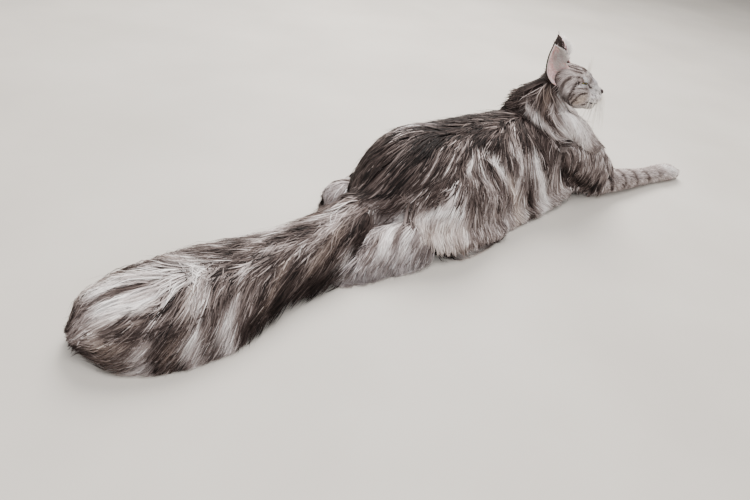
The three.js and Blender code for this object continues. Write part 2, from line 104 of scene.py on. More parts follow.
# Sizes of the body, out to the tips of the coat: x, y, z, half-width, height above, depth below.
TRUNK = [
    [-232, 2, 52, 26, 20, 45],
    [-216, 2, 50, 52, 42, 60],
    [-190, 1, 48, 78, 72, 68],
    [-160, 0, 46, 96, 96, 68],
    [-120, 0, 45, 104, 107, 68],
    [-70, 0, 45, 104, 105, 68],
    [0, 0, 45, 100, 104, 68],
    [60, 0, 45, 97, 103, 68],
    [110, 0, 46, 94, 104, 68],
    [150, 0, 48, 90, 100, 68],
    [186, -2, 52, 82, 88, 66],
    [220, -6, 56, 66, 70, 62],
    [244, -10, 60, 40, 44, 50],
]
NECK = [
    [140, 4, 70, 56, 60, 46],
    [144, 2, 100, 66, 74, 56],
    [149, -3, 130, 64, 70, 58],
    [152, -8, 155, 57, 56, 55],
    [154, -12, 178, 48, 40, 48],
    [156, -12, 198, 34, 26, 38],
    [158, -12, 211, 20, 14, 24],
]
BIB = [
    [150, -34, 160, 26, 12, 20],
    [165, -50, 146, 34, 16, 26],
    [188, -62, 124, 40, 18, 32],
    [214, -68, 106, 36, 16, 30],
    [232, -71, 96, 20, 10, 18],
]
CHEST = [
    [226, -6, 122, 24, 12, 16],
    [248, -8, 96, 38, 14, 22],
    [260, -10, 64, 44, 14, 26],
    [261, -10, 36, 42, 14, 26],
    [258, -10, 15, 30, 12, 22],
]
TAIL = [
    [-186, 2, 66, 30, 28, 30],
    [-230, -6, 50, 40, 34, 45],
    [-280, -22, 38, 46, 38, 45],
    [-330, -32, 30, 49, 42, 42],
    [-380, -35, 27, 52, 44, 42],
    [-440, -38, 25, 65, 46, 42],
    [-500, -42, 25, 74, 48, 42],
    [-540, -41, 25, 73, 48, 42],
    [-582, -36, 24, 65, 44, 42],
    [-616, -33, 22, 48, 35, 36],
    [-636, -31, 20, 28, 20, 28],
]
THIGH = [
    [-190, -54, 62, 24, 30, 40],
    [-165, -62, 62, 38, 50, 60],
    [-120, -70, 58, 47, 58, 60],
    [-75, -72, 52, 44, 52, 55],
    [-35, -72, 44, 36, 42, 46],
    [-10, -72, 38, 20, 24, 32],
]
LEFT_THIGH = [
    [-182, -40, 56, 22, 26, 40],
    [-158, -48, 54, 36, 44, 55],
    [-118, -58, 50, 46, 50, 55],
    [-75, -64, 46, 44, 46, 50],
    [-35, -66, 42, 36, 38, 46],
    [-10, -68, 38, 20, 22, 32],
]
HIND_FOOT = [
    [-168, -84, 18, 14, 16, 20],
    [-150, -90, 20, 24, 24, 26],
    [-110, -96, 18, 26, 24, 26],
    [-70, -98, 14, 22, 17, 22],
    [-40, -100, 12, 20, 13, 20],
    [-22, -101, 10, 14, 9, 16],
]
BREECH = [
    [-150, -66, 40, 34, 34, 46],
    [-195, -70, 32, 34, 32, 40],
    [-245, -66, 22, 30, 26, 30],
    [-290, -66, 14, 24, 18, 24],
    [-325, -70, 8, 14, 10, 16],
]
LEFT_BREECH = [
    [-140, -56, 38, 30, 26, 44],
    [-180, -62, 34, 30, 28, 40],
    [-215, -66, 30, 26, 24, 34],
    [-240, -66, 22, 16, 14, 24],
]
UPPER_ARM = [
    [140, -52, 88, 26, 30, 30],
    [170, -62, 82, 36, 42, 42],
    [210, -72, 66, 38, 44, 46],
    [246, -84, 44, 34, 38, 46],
    [274, -94, 28, 24, 24, 34],
]
FOREARM = [
    [232, -88, 22, 18, 22, 26],
    [250, -92, 24, 25, 24, 28],
    [300, -104, 22, 23, 21, 25],
    [360, -114, 18, 19, 17, 22],
    [410, -121, 17, 17, 15, 22],
    [440, -125, 17, 20, 15, 22],
    [466, -129, 15, 21, 14, 20],
    [482, -132, 12, 16, 10, 16],
]

HEAD_AT = (179.0, -36.0, 200.0)
HEAD_TURN = -59.0
HEAD_LIFT = 10.0
# Rounded lumps of the skull and face in the head's frame: middle and half-sizes.
FACE = [
    [(-16, 0, 3), (38, 32, 27)],
    [(2, 0, 8), (16, 19, 13)],
    [(2, 23, -13), (23, 14, 18)],
    [(2, -23, -13), (23, 14, 18)],
    [(12, 12, 9), (10, 8, 6)],
    [(12, -12, 9), (10, 8, 6)],
    [(21, 0, 0), (13, 7, 8.5)],
    [(34, 0, -11), (8, 6, 6)],
    [(31, 8.5, -21), (11.5, 9.5, 9.5)],
    [(31, -8.5, -21), (11.5, 9.5, 9.5)],
    [(25, 0, -35.5), (9, 10, 8)],
    [(4, 0, -29), (22, 19, 14)],
]
MOUTH = [(46, 0, -24), (42, 8, -31), (30, 17, -33), (17, 20, -31)]
PHILTRUM = [(46, 0, -13), (46, 0, -18), (46, 0, -25)]


@dataclass(frozen=True)
class EyeSize:
    """Sizes of one eye in the head's frame, in millimetres."""

    radius: float = 10.5
    at: tuple[float, float, float] = (6.2, 14.6, 5.0)
    gaze: tuple[float, float, float] = (0.7, 0.71, 0.02)
    lid: float = 1.8
    half_width: float = 8.6
    upper: float = 2.1
    lower: float = 1.3
    tilt: float = 14.0


@dataclass(frozen=True)
class EarSize:
    """Sizes of one ear in the head's frame, in millimetres: its edges from skull to tip."""

    outer: tuple[tuple[float, float, float], ...] = (
        (-31, 34, 3),
        (-38.5, 43, 11),
        (-46.5, 43, 25),
        (-46, 41, 48),
        (-40, 38, 68),
    )
    inner: tuple[tuple[float, float, float], ...] = (
        (-13, 14, 24),
        (-20, 20, 37),
        (-25, 25, 51),
        (-32, 31, 61),
        (-40, 38, 68),
    )
    cup: float = 13.0
    thick: float = 2.0


@dataclass(frozen=True)
class NoseSize:
    """Sizes of the nose leather in the head's frame, in millimetres."""

    x: float = 39.4
    z: float = -11.6
    half_depth: float = 4.4
    half_width: float = 6.0
    half_height: float = 4.2
    lean: float = 1.6
    nostril_y: float = 3.7
    nostril_z: float = -12.2
    nostril_half: tuple[float, float] = (1.5, 1.1)
    nostril_depth: float = 3.0
    groove_depth: float = 0.7


class Side(Enum):
    """The two sides of the animal, by the sign of y."""

    RIGHT = -1
    LEFT = 1


def unit(v: Array) -> Array:
    """Scale vectors to length one.

    Args:
        v: Vectors in the last axis.

    Returns:
        The vectors over their lengths.
    """
    return v / np.maximum(np.linalg.norm(v, axis=-1, keepdims=True), 1e-9)


def smooth(low: float, high: float, x: Array) -> Array:
    """Ease from 0 to 1 between two values.

    Args:
        low: Value where the result is still 0.
        high: Value where the result becomes 1.
        x: Values to ease.

    Returns:
        The eased values.
    """
    t = np.clip((np.asarray(x, float) - low) / (high - low), 0, 1)
    return t * t * (3 - 2 * t)


def wave_noise(x: Array, y: Array, seed: int) -> Array:
    """Give smooth noise over a plane from a repeating random lattice.

    Args:
        x: First coordinates, one cell a unit.
        y: Second coordinates.
        seed: Which lattice.

    Returns:
        Values from 0 to 1.
    """
    lattice = np.random.default_rng(seed).random((64, 64))
    i, j = np.floor(x).astype(int), np.floor(y).astype(int)
    fx, fy = x - i, y - j
    fx, fy = fx * fx * (3 - 2 * fx), fy * fy * (3 - 2 * fy)

    def at(a: int, b: int) -> Array:
        return lattice[(i + a) % 64, (j + b) % 64]

    low = at(0, 0) * (1 - fx) + at(1, 0) * fx
    high = at(0, 1) * (1 - fx) + at(1, 1) * fx
    return low * (1 - fy) + high * fy


def spline(rows: Array, per: int) -> Array:
    """Sample a centripetal Catmull-Rom curve through rows of numbers.

    Args:
        rows: The rows that it passes through.
        per: Samples from one row to the next.

    Returns:
        The sampled rows.
    """
    p = np.vstack([2 * rows[0] - rows[1], rows, 2 * rows[-1] - rows[-2]])
    t = np.linspace(0, 1, per, endpoint=False)[:, None]
    out = []
    for a, b, c, d in zip(p, p[1:], p[2:], p[3:]):
        d0, d1, d2 = (max(float(np.sqrt(np.linalg.norm(q))), 1e-3) for q in (b - a, c - b, d - c))
        m1 = ((b - a) / d0 - (c - a) / (d0 + d1) + (c - b) / d1) * d1
        m2 = ((c - b) / d1 - (d - b) / (d1 + d2) + (d - c) / d2) * d1
        out.append(b + m1 * t + (3 * (c - b) - 2 * m1 - m2) * t**2 + (2 * (b - c) + m1 + m2) * t**3)
    return np.vstack([*out, rows[-1:]])


class Surface(Protocol):
    """A surface with a share along it, an angle round it and a lift out of it."""

    coat: float
    core: float

    def points(self, share: Array, angle: Array, lift: Array | float) -> Array:
        """Place points by share, angle and lift."""
        ...

    def depth(self, points: Array) -> Array:
        """Say how deep points lie under the skin."""
        ...


class Sweep:
    """A soft form swept through stations, with sections square to its path."""

    SAMPLES = 200
    LEAST_HALF = 3.0
    core = 0.5

    def __init__(
        self,
        stations: Sequence[Sequence[float]],
        coat: float,
        up: Sequence[float] = (0, 0, 1),
        power: float = 2.2,
        under: float | None = None,
        side: Side = Side.RIGHT,
    ) -> None:
        """Sample the path and its sections.

        Args:
            stations: x, y, z, half-width, height above and depth below, to the coat's tips.
            coat: Depth of the coat.
            up: Direction that the sections keep on top.
            power: Roundness of the upper half.
            under: Roundness of the lower half, the same when left out.
            side: A left form is mirrored from stations on the right.
        """
        rows = np.array(stations, float)
        if side is Side.LEFT:
            rows[:, 1] *= -1
        self.coat = coat
        self.powers = (power, power if under is None else under)
        middle = spline(rows[:, :3], 60)
        sizes = spline(rows[:, 3:], 60)
        run = np.concatenate([[0], np.cumsum(np.linalg.norm(np.diff(middle, axis=0), axis=1))])
        self.length = float(run[-1])
        even = np.linspace(0, self.length, self.SAMPLES)
        self.middle = np.stack([np.interp(even, run, c) for c in middle.T], axis=1)
        self.sizes = np.stack([np.interp(even, run, c) for c in sizes.T], axis=1)
        self.along = unit(np.gradient(self.middle, axis=0))
        self.across = unit(np.cross(np.array(up, float), self.along))
        self.above = unit(np.cross(self.along, self.across))
        self.table = np.hstack([self.middle, self.along, self.across, self.above, self.sizes])
        reach = self.sizes.max(axis=1, keepdims=True)
        self.box = (self.middle - reach).min(0), (self.middle + reach).max(0)

    @property
    def skin_lift(self) -> float:
        """Lift of the skin, below the tips of the coat by its core."""
        return -self.coat * self.core

    def section(self, share: Array) -> Array:
        """Read the table of sections at shares of the length.

        Args:
            share: Shares, which may lie past the ends.

        Returns:
            Rows of middle, along, across, above and the three half-sizes.
        """
        inside = np.clip(share, 0, 1)
        at = inside * (self.SAMPLES - 1)
        i = np.minimum(at.astype(int), self.SAMPLES - 2)
        f = (at - i)[..., None]
        rows = self.table[i] * (1 - f) + self.table[i + 1] * f
        rows[..., :3] += rows[..., 3:6] * ((share - inside) * self.length)[..., None]
        return rows

    def points(self, share: Array, angle: Array, lift: Array | float = 0.0) -> Array:
        """Place points by share, angle and lift.

        Args:
            share: Shares of the path's length.
            angle: Radians, from across the path upwards.
            lift: Distance out from the tips of the coat.

        Returns:
            The points.
        """
        rows = self.section(np.asarray(share, float))
        sine, cosine = np.sin(angle), np.cos(angle)
        power = np.where(sine > 0, *self.powers)
        height = np.where(sine > 0, rows[..., 13], rows[..., 14])
        x = np.sign(cosine) * np.abs(cosine) ** (2 / power)
        y = np.sign(sine) * np.abs(sine) ** (2 / power)
        wide = np.maximum(rows[..., 12] + lift, self.LEAST_HALF)
        tall = np.maximum(height + lift, self.LEAST_HALF)
        across, above = rows[..., 6:9] * (x * wide)[..., None], rows[..., 9:12] * (y * tall)[..., None]
        return rows[..., :3] + across + above

    def near(self, points: Array) -> Array:
        """Give the numbers of the points inside the form's box."""
        return np.all((points > self.box[0]) & (points < self.box[1]), axis=1).nonzero()[0]

    def place(self, p: Array) -> tuple[Array, Array, Array, Array, Array, Array]:
        """Read points against the nearest section of the skin.

        Args:
            p: Points, best only those near.

        Returns:
            Section numbers, offsets across, above and along, the ratio to the skin's outline,
            and the skin's least half-size.
        """
        i = np.empty(len(p), int)
        for low in range(0, len(p), 4000):
            gaps = np.linalg.norm(p[low : low + 4000, None] - self.middle[None, ::4], axis=2)
            i[low : low + 4000] = np.argmin(gaps, axis=1) * 4
        rel = p - self.middle[i]
        a, b, c = ((rel * axis[i]).sum(1) for axis in (self.across, self.above, self.along))
        wide = np.maximum(self.sizes[i, 0] + self.skin_lift, self.LEAST_HALF)
        tall = np.where(b > 0, self.sizes[i, 1], self.sizes[i, 2]) + self.skin_lift
        tall = np.maximum(tall, self.LEAST_HALF)
        power = np.where(b > 0, *self.powers)
        q = (np.abs(a / wide) ** power + np.abs(b / tall) ** power) ** (1 / power)
        return i, a, b, c, q, np.minimum(wide, tall)

    def depth(self, points: Array) -> Array:
        """Say how deep points lie under the skin.

        Args:
            points: Points to test.

        Returns:
            Depths, negative outside.
        """
        out = np.full(len(points), -99.0)
        near = self.near(points)
        _, _, _, c, q, half = self.place(points[near])
        out[near] = (1 - np.hypot(q, np.maximum(np.abs(c) - self.length / 30, 0) / half)) * half
        return out

    def lifted(self, points: Array, margin: Array) -> Array:
        """Lift points that lie in the form out over its skin.

        Args:
            points: Points to lift.
            margin: Height over the skin for each.

        Returns:
            The lifted points.
        """
        near = self.near(points)
        i, a, b, c, q, half = self.place(points[near])
        wanted = 1 + margin[near] / half
        chosen = (q < wanted) & (q > 0.4) & (np.abs(c) < self.length / 40)
        grown = np.where(chosen, wanted / np.maximum(q, 0.4) - 1, 0)[:, None]
        out = points.copy()
        out[near] += (self.across[i] * a[:, None] + self.above[i] * b[:, None]) * grown
        return out


class Head:
    """The skull and face, as blended lumps marched from the head's middle."""

    ROWS, COLUMNS = 121, 240
    FARTHEST, HALVINGS = 90.0, 24
    BLEND = 3.0
    coat = 2.0
    core = 1.0

    def __init__(self) -> None:
        """Turn the head's frame and march its surface into a table of radii."""
        turn, lift = math.radians(HEAD_TURN), math.radians(HEAD_LIFT)
        c, s = math.cos(turn), math.sin(turn)
        about_z = np.array([[c, -s, 0], [s, c, 0], [0, 0, 1]])
        c, s = math.cos(lift), math.sin(lift)
        about_y = np.array([[c, 0, -s], [0, 1, 0], [s, 0, c]])
        self.turn = about_z @ about_y
        self.at = np.array(HEAD_AT)
        polar = np.linspace(0, np.pi, self.ROWS)[:, None]
        round_ = np.linspace(0, 2 * np.pi, self.COLUMNS + 1)[None]
        self.radii = self.march(self.direction(polar, round_))

    def world(self, local: Array) -> Array:
        """Carry points from the head's frame to the part's."""
        return local @ self.turn.T + self.at

    def local(self, points: Array) -> Array:
        """Carry points from the part's frame to the head's."""
        return (points - self.at) @ self.turn

    @staticmethod
    def direction(polar: Array, angle: Array) -> Array:
        """Give directions by the angle from the nose and the angle from the left upwards."""
        polar, angle = np.broadcast_arrays(polar, angle)
        round_ = np.sin(polar)
        return np.stack([np.cos(polar), round_ * np.cos(angle), round_ * np.sin(angle)], axis=-1)

    def distance(self, p: Array) -> Array:
        """Give the distance of local points from the skin of the face."""
        total = np.zeros(p.shape[:-1])
        for middle, half in FACE:
            q = p - np.array(middle)
            near = np.linalg.norm(q / np.array(half), axis=-1)
            steep = np.linalg.norm(q / np.array(half) ** 2, axis=-1)
            total += np.exp(-near * (near - 1) / np.maximum(steep, 1e-6) / self.BLEND)
        return -np.log(np.maximum(total, 1e-30)) * self.BLEND

    def march(self, way: Array) -> Array:
        """Find how far the surface lies along directions from the head's middle."""
        near, far = np.zeros(way.shape[:-1]), np.full(way.shape[:-1], self.FARTHEST)
        for _ in range(self.HALVINGS):
            half = (near + far) / 2
            inside = self.distance(way * half[..., None]) < 0
            near, far = np.where(inside, half, near), np.where(inside, far, half)
        return near

    def points(self, share: Array, angle: Array, lift: Array | float = 0.0) -> Array:
        """Place points by share from nose to nape, angle and lift, in the part's frame."""
        share = np.clip(np.asarray(share, float), 0, 1)
        a = share * (self.ROWS - 1)
        b = (np.asarray(angle, float) / (2 * np.pi) % 1) * self.COLUMNS
        i, j = np.minimum(a.astype(int), self.ROWS - 2), np.minimum(b.astype(int), self.COLUMNS - 1)
        fa, fb = a - i, b - j
        low = self.radii[i, j] * (1 - fa) + self.radii[i + 1, j] * fa
        high = self.radii[i, j + 1] * (1 - fa) + self.radii[i + 1, j + 1] * fa
        radius = low * (1 - fb) + high * fb + lift
        return self.world(self.direction(share * np.pi, angle) * radius[..., None])

    def depth(self, points: Array) -> Array:
        """Say how deep points lie under the skin."""
        return -self.distance(self.local(points)) - self.coat


def linear(rgb: Sequence[float]) -> Array:
    """Turn a colour of 0 to 255 into linear light."""
    c = np.asarray(rgb, float) / 255
    return np.where(c <= 0.04045, c / 12.92, ((c + 0.055) / 1.055) ** 2.4)


TONE_STOPS = np.array([0.0, 0.18, 0.38, 0.55, 0.75, 1.0])
TONE_COLOURS = linear(
    [(22, 17, 16), (58, 47, 44), (106, 93, 89), (155, 142, 138), (211, 199, 196), (253, 248, 245)]
)
WARM = np.array([0.1, 0.0, -0.16])


def coat_colour(tone: Array, warm: Array) -> Array:
    """Give the coat's colour.

    Args:
        tone: From black, 0, to silver-white, 1.
        warm: From lilac, -1, to beige, 1.

    Returns:
        Linear colours.
    """
    t = np.clip(tone, 0, 1)
    colour = np.stack([np.interp(t, TONE_STOPS, c) for c in TONE_COLOURS.T], axis=-1)
    return colour * (1 + np.asarray(warm)[..., None] * WARM)


@dataclass(frozen=True)
class Mark:
    """A soft stroke of the coat's pattern along a path of shares and degrees on a form.

    Hair near a stroke that combs runs along it, from the path's first point to its last.
    """

    form: str
    tone: float
    wide: float
    path: tuple[tuple[float, float], ...]
    warm: float = 0.0
    strength: float = 0.95
    both: bool = True
    combs: bool = True


# The pattern as it shows on the right side. The left side mirrors it.
MARKS = [
    # Tail: dark and white locks that fall from the parting.
    Mark("tail", 0.2, 9, ((0.19, 32), (0.25, 8), (0.295, -4))),
    Mark("tail", 0.42, 8, ((0.28, 57), (0.35, 39), (0.415, 16)), 0.5),
    Mark("tail", 0.22, 9, ((0.11, 54), (0.2, 46), (0.28, 34))),
    Mark("tail", 0.97, 6, ((0.3, 6), (0.315, -12), (0.33, -34))),
    Mark("tail", 0.1, 6, ((0.265, -8), (0.275, -34))),
    Mark("tail", 0.14, 7, ((0.44, 38), (0.51, 18), (0.56, -6))),
    Mark("tail", 0.42, 4, ((0.485, 50), (0.545, 27), (0.605, 0)), 0.5),
    Mark("tail", 0.18, 7, ((0.535, 50), (0.585, 28), (0.63, 0))),
    Mark("tail", 0.98, 8, ((0.62, 68), (0.66, 48), (0.69, 30), (0.7, 14), (0.72, -15))),
    Mark("tail", 0.8, 5, ((0.67, 54), (0.7, 36), (0.72, 18))),
    Mark("tail", 0.4, 6, ((0.685, 66), (0.71, 46), (0.73, 24), (0.75, 0))),
    Mark("tail", 0.08, 3.5, ((0.67, 78), (0.7, 62), (0.735, 40), (0.76, 10))),
    Mark("tail", 0.98, 9, ((0.705, 86), (0.73, 68), (0.74, 46), (0.76, 26), (0.785, 0))),
    Mark("tail", 0.4, 7, ((0.75, 60), (0.77, 42), (0.8, 20), (0.825, -8)), 0.5),
    Mark("tail", 0.1, 5, ((0.745, 84), (0.76, 68), (0.78, 57), (0.81, 40), (0.84, 22), (0.88, -8))),
    Mark("tail", 0.62, 16, ((0.86, 54), (0.905, 36), (0.95, 20)), 0.7),
    Mark("tail", 0.82, 14, ((0.83, 70), (0.885, 58), (0.935, 48)), 0.2),
    Mark("tail", 0.93, 8, ((0.77, 76), (0.8, 60), (0.83, 42), (0.86, 21), (0.9, -8))),
    Mark("tail", 0.25, 3, ((0.8, 72), (0.825, 62), (0.845, 46), (0.875, 28), (0.91, 3))),
    Mark("tail", 0.95, 8, ((0.79, 84), (0.845, 82), (0.9, 80), (0.94, 75))),
    Mark("tail", 0.16, 3, ((0.75, 86), (0.82, 91), (0.86, 91), (0.92, 94))),
    Mark("tail", 0.88, 6, ((0.76, 92), (0.805, 105), (0.85, 114), (0.9, 112))),
    Mark("tail", 0.16, 4, ((0.735, 90), (0.76, 104), (0.79, 124), (0.84, 134), (0.9, 126))),
    Mark("tail", 0.6, 5, ((0.7, 104), (0.74, 124), (0.78, 140))),
    Mark("tail", 0.15, 10, ((0.66, 134), (0.74, 150), (0.84, 156), (0.94, 146))),
    Mark("tail", 0.78, 4.5, ((0.6, 66), (0.63, 76), (0.65, 90), (0.66, 112))),
    Mark("tail", 0.16, 3.5, ((0.66, 74), (0.685, 90), (0.69, 116))),
    Mark("tail", 0.1, 8, ((0.56, 68), (0.6, 82), (0.63, 98), (0.65, 124))),
    Mark("tail", 0.98, 6, ((0.4, 132), (0.46, 132), (0.5, 130), (0.55, 134)), both=False),
    Mark("tail", 0.05, 4, ((0.37, 86), (0.41, 108), (0.44, 130))),
    Mark("tail", 0.05, 5.5, ((0.47, 84), (0.52, 92), (0.56, 108))),
    Mark("tail", 0.64, 6, ((0.38, 58), (0.46, 74), (0.52, 82))),
    Mark("tail", 0.62, 7, ((0.2, 82), (0.26, 96), (0.34, 112))),
    # Back: nearly black, with silver hairs over the rump and shoulder.
    Mark("trunk", 0.12, 30, ((0.62, 82), (0.45, 84), (0.3, 88), (0.15, 93)), strength=0.7, combs=False),
    Mark("trunk", 0.07, 15, ((0.48, 120), (0.37, 120), (0.29, 124)), strength=0.85, combs=False),
    Mark("trunk", 0.62, 7, ((0.3, 80), (0.245, 68), (0.2, 63)), -0.3, both=False),
    Mark("trunk", 0.5, 2, ((0.17, 80), (0.12, 70), (0.1, 60)), both=False),
    Mark("trunk", 0.5, 1.8, ((0.22, 112), (0.17, 123), (0.12, 134))),
    Mark("trunk", 0.55, 1.8, ((0.3, 112), (0.23, 125), (0.17, 138))),
    Mark("trunk", 0.45, 1.5, ((0.36, 108), (0.3, 118), (0.25, 128))),
    Mark("trunk", 0.16, 9, ((0.64, 112), (0.64, 132), (0.67, 150))),
    Mark("trunk", 0.52, 6, ((0.58, 106), (0.545, 120), (0.53, 132))),
    Mark("trunk", 0.9, 5, ((0.36, 126), (0.385, 132), (0.41, 142), (0.435, 154))),
    Mark("trunk", 0.88, 5, ((0.35, 127), (0.32, 129), (0.29, 134), (0.275, 142))),
    Mark("trunk", 0.6, 5, ((0.33, 134), (0.34, 144), (0.35, 156))),
    Mark("trunk", 0.74, 7, ((0.51, 130), (0.535, 142), (0.52, 156), (0.49, 170))),
    Mark("trunk", 0.58, 10, ((0.46, 156), (0.5, 174), (0.56, 200)), 0.4),
    Mark("trunk", 0.18, 5, ((0.605, 135), (0.575, 153), (0.59, 174), (0.62, 190))),
    Mark("trunk", 0.98, 8, ((0.615, 146), (0.625, 162), (0.66, 178), (0.72, 196), (0.78, 208))),
    Mark("trunk", 0.12, 4, ((0.56, 162), (0.58, 178), (0.62, 194))),
    # Haunch: a pale fluffy bulge over the foot, dark strands in front of it.
    Mark("thigh_right", 0.78, 6, ((0.32, 112), (0.28, 130), (0.22, 150))),
    Mark("thigh_right", 0.16, 5, ((0.2, 108), (0.16, 126), (0.1, 150))),
    Mark("thigh_right", 0.12, 5, ((0.47, 104), (0.46, 144), (0.53, 174))),
    Mark("thigh_right", 0.62, 5, ((0.6, 112), (0.63, 130), (0.7, 162))),
    Mark("thigh_right", 0.14, 5, ((0.7, 120), (0.72, 150), (0.8, 175))),
    Mark("thigh_right", 0.74, 14, ((0.06, 194), (0.2, 190), (0.36, 196)), 0.3, combs=False),
    Mark("thigh_right", 0.97, 8, ((0.05, 178), (0.17, 166), (0.32, 171)), -0.1, combs=False),
    Mark("foot_right", 0.14, 7, ((0.72, 110), (0.82, 140), (0.92, 158)), both=False, combs=False),
    Mark("foot_right", 0.06, 8, ((0.06, 200), (0.14, 208), (0.22, 212)), both=False, combs=False),
    Mark("breech_right", 0.92, 9, ((0.2, 120), (0.35, 100), (0.5, 63), (0.635, 30))),
    Mark("breech_right", 0.86, 7, ((0.28, 72), (0.36, 50), (0.44, 9))),
    Mark("breech_right", 0.4, 3.5, ((0.28, 84), (0.42, 62), (0.52, 34))),
    Mark("breech_right", 0.45, 3, ((0.5, 90), (0.64, 66), (0.74, 40))),
    # Foreleg: dark elbow, rings on the forearm, pale paw.
    Mark("arm_right", 0.1, 12, ((0.16, 214), (0.5, 220), (0.82, 208)), combs=False),
    Mark("arm_right", 0.2, 4, ((0.6, 120), (0.63, 159), (0.7, 184)), combs=False),
    Mark("arm_right", 0.2, 4, ((0.87, 100), (0.9, 130), (0.95, 164)), combs=False),
    Mark("forearm_right", 0.2, 3.5, ((0.08, 40), (0.1, 90), (0.14, 150), (0.2, 205)), combs=False),
    Mark("forearm_right", 0.22, 3.5, ((0.28, 40), (0.28, 90), (0.3, 140), (0.33, 200)), combs=False),
    Mark("forearm_right", 0.25, 3.5, ((0.44, 40), (0.43, 90), (0.44, 135), (0.48, 195)), combs=False),
    Mark("forearm_right", 0.32, 3.5, ((0.6, 40), (0.58, 90), (0.59, 135), (0.63, 190)), combs=False),
    Mark("forearm_right", 0.45, 3, ((0.74, 60), (0.73, 120), (0.76, 180)), combs=False),
    Mark("forearm_right", 0.95, 13, ((0.86, 100), (0.93, 140), (0.97, 180)), combs=False),
    # Neck: silver ruff over a dark collar line.
    Mark("neck", 0.12, 14, ((0.95, -118), (0.8, -132), (0.6, -130)), both=False),
    Mark("neck", 0.28, 9, ((0.82, -70), (0.72, -64), (0.61, -60)), 0.6, both=False),
    Mark("neck", 0.04, 8, ((0.36, -150), (0.43, -94), (0.415, -62), (0.34, -30), (0.245, 4)), both=False),
    Mark("neck", 0.84, 5.5, ((0.6, -92), (0.55, -70), (0.51, -45), (0.42, -20), (0.28, 16)), both=False),
    Mark("neck", 0.28, 4, ((0.66, -66), (0.6, -50), (0.5, -30), (0.35, 5)), both=False),
    Mark("neck", 0.7, 4, ((0.7, -52), (0.62, -38), (0.52, -18), (0.4, 8)), both=False),
    # Face.
    Mark("head", 0.95, 9, ((0.1, 225), (0.18, 222), (0.25, 232)), -0.1, combs=False),
    Mark("head", 0.95, 9, ((0.28, 262), (0.36, 266), (0.42, 262)), combs=False),
    Mark("head", 0.75, 9, ((0.4, 206), (0.46, 212)), 1.0, 0.7, combs=False),
    Mark("head", 0.82, 5, ((0.08, 110), (0.17, 104), (0.26, 100)), -0.4, combs=False),
    Mark("head", 0.3, 2, ((0.12, 90), (0.22, 90), (0.3, 90)), strength=0.5, combs=False),
    Mark("head", 0.98, 3.4, ((0.3, 152), (0.36, 153), (0.42, 150)), combs=False),
    Mark("head", 0.98, 3.4, ((0.3, 172), (0.37, 174), (0.43, 175)), combs=False),
    Mark("head", 0.3, 1.3, ((0.445, 180), (0.37, 182), (0.31, 186)), combs=False),
    Mark(
        "head", 0.03, 2.1, ((0.4, 153), (0.45, 158), (0.49, 165), (0.535, 180), (0.56, 194), (0.62, 225)),
        combs=False,
    ),
    Mark("head", 0.12, 1.7, ((0.51, 194), (0.545, 208)), combs=False),
    Mark(
        "head", 0.08, 1.7, ((0.35, 195), (0.415, 194), (0.485, 206), (0.54, 225), (0.585, 250)), combs=False,
    ),
    Mark("head", 0.06, 1.6, ((0.33, 163), (0.24, 172), (0.15, 195), (0.115, 215)), combs=False),
    Mark("head", 0.2, 1.8, ((0.5, 147), (0.44, 147)), combs=False),
    Mark("head", 0.12, 2.0, ((0.34, 96), (0.48, 97), (0.6, 98), (0.7, 98)), combs=False),
    Mark("head", 0.14, 2.0, ((0.36, 110), (0.5, 114), (0.6, 112), (0.7, 108)), combs=False),
    Mark("head", 0.25, 1.8, ((0.43, 126), (0.52, 128), (0.62, 124)), combs=False),
    Mark("head", 0.3, 3, ((0.6, 150), (0.66, 165), (0.7, 180)), combs=False),
    Mark("head", 0.2, 3, ((0.6, 232), (0.66, 225), (0.72, 215)), combs=False),
    Mark("head", 0.35, 3, ((0.6, 205), (0.66, 200), (0.72, 195)), combs=False),
    Mark("head", 0.1, 2.4, ((0.36, 244), (0.41, 236)), combs=False),
]
WHISKER_ROWS = ((0.17, 214), (0.19, 224), (0.215, 234))


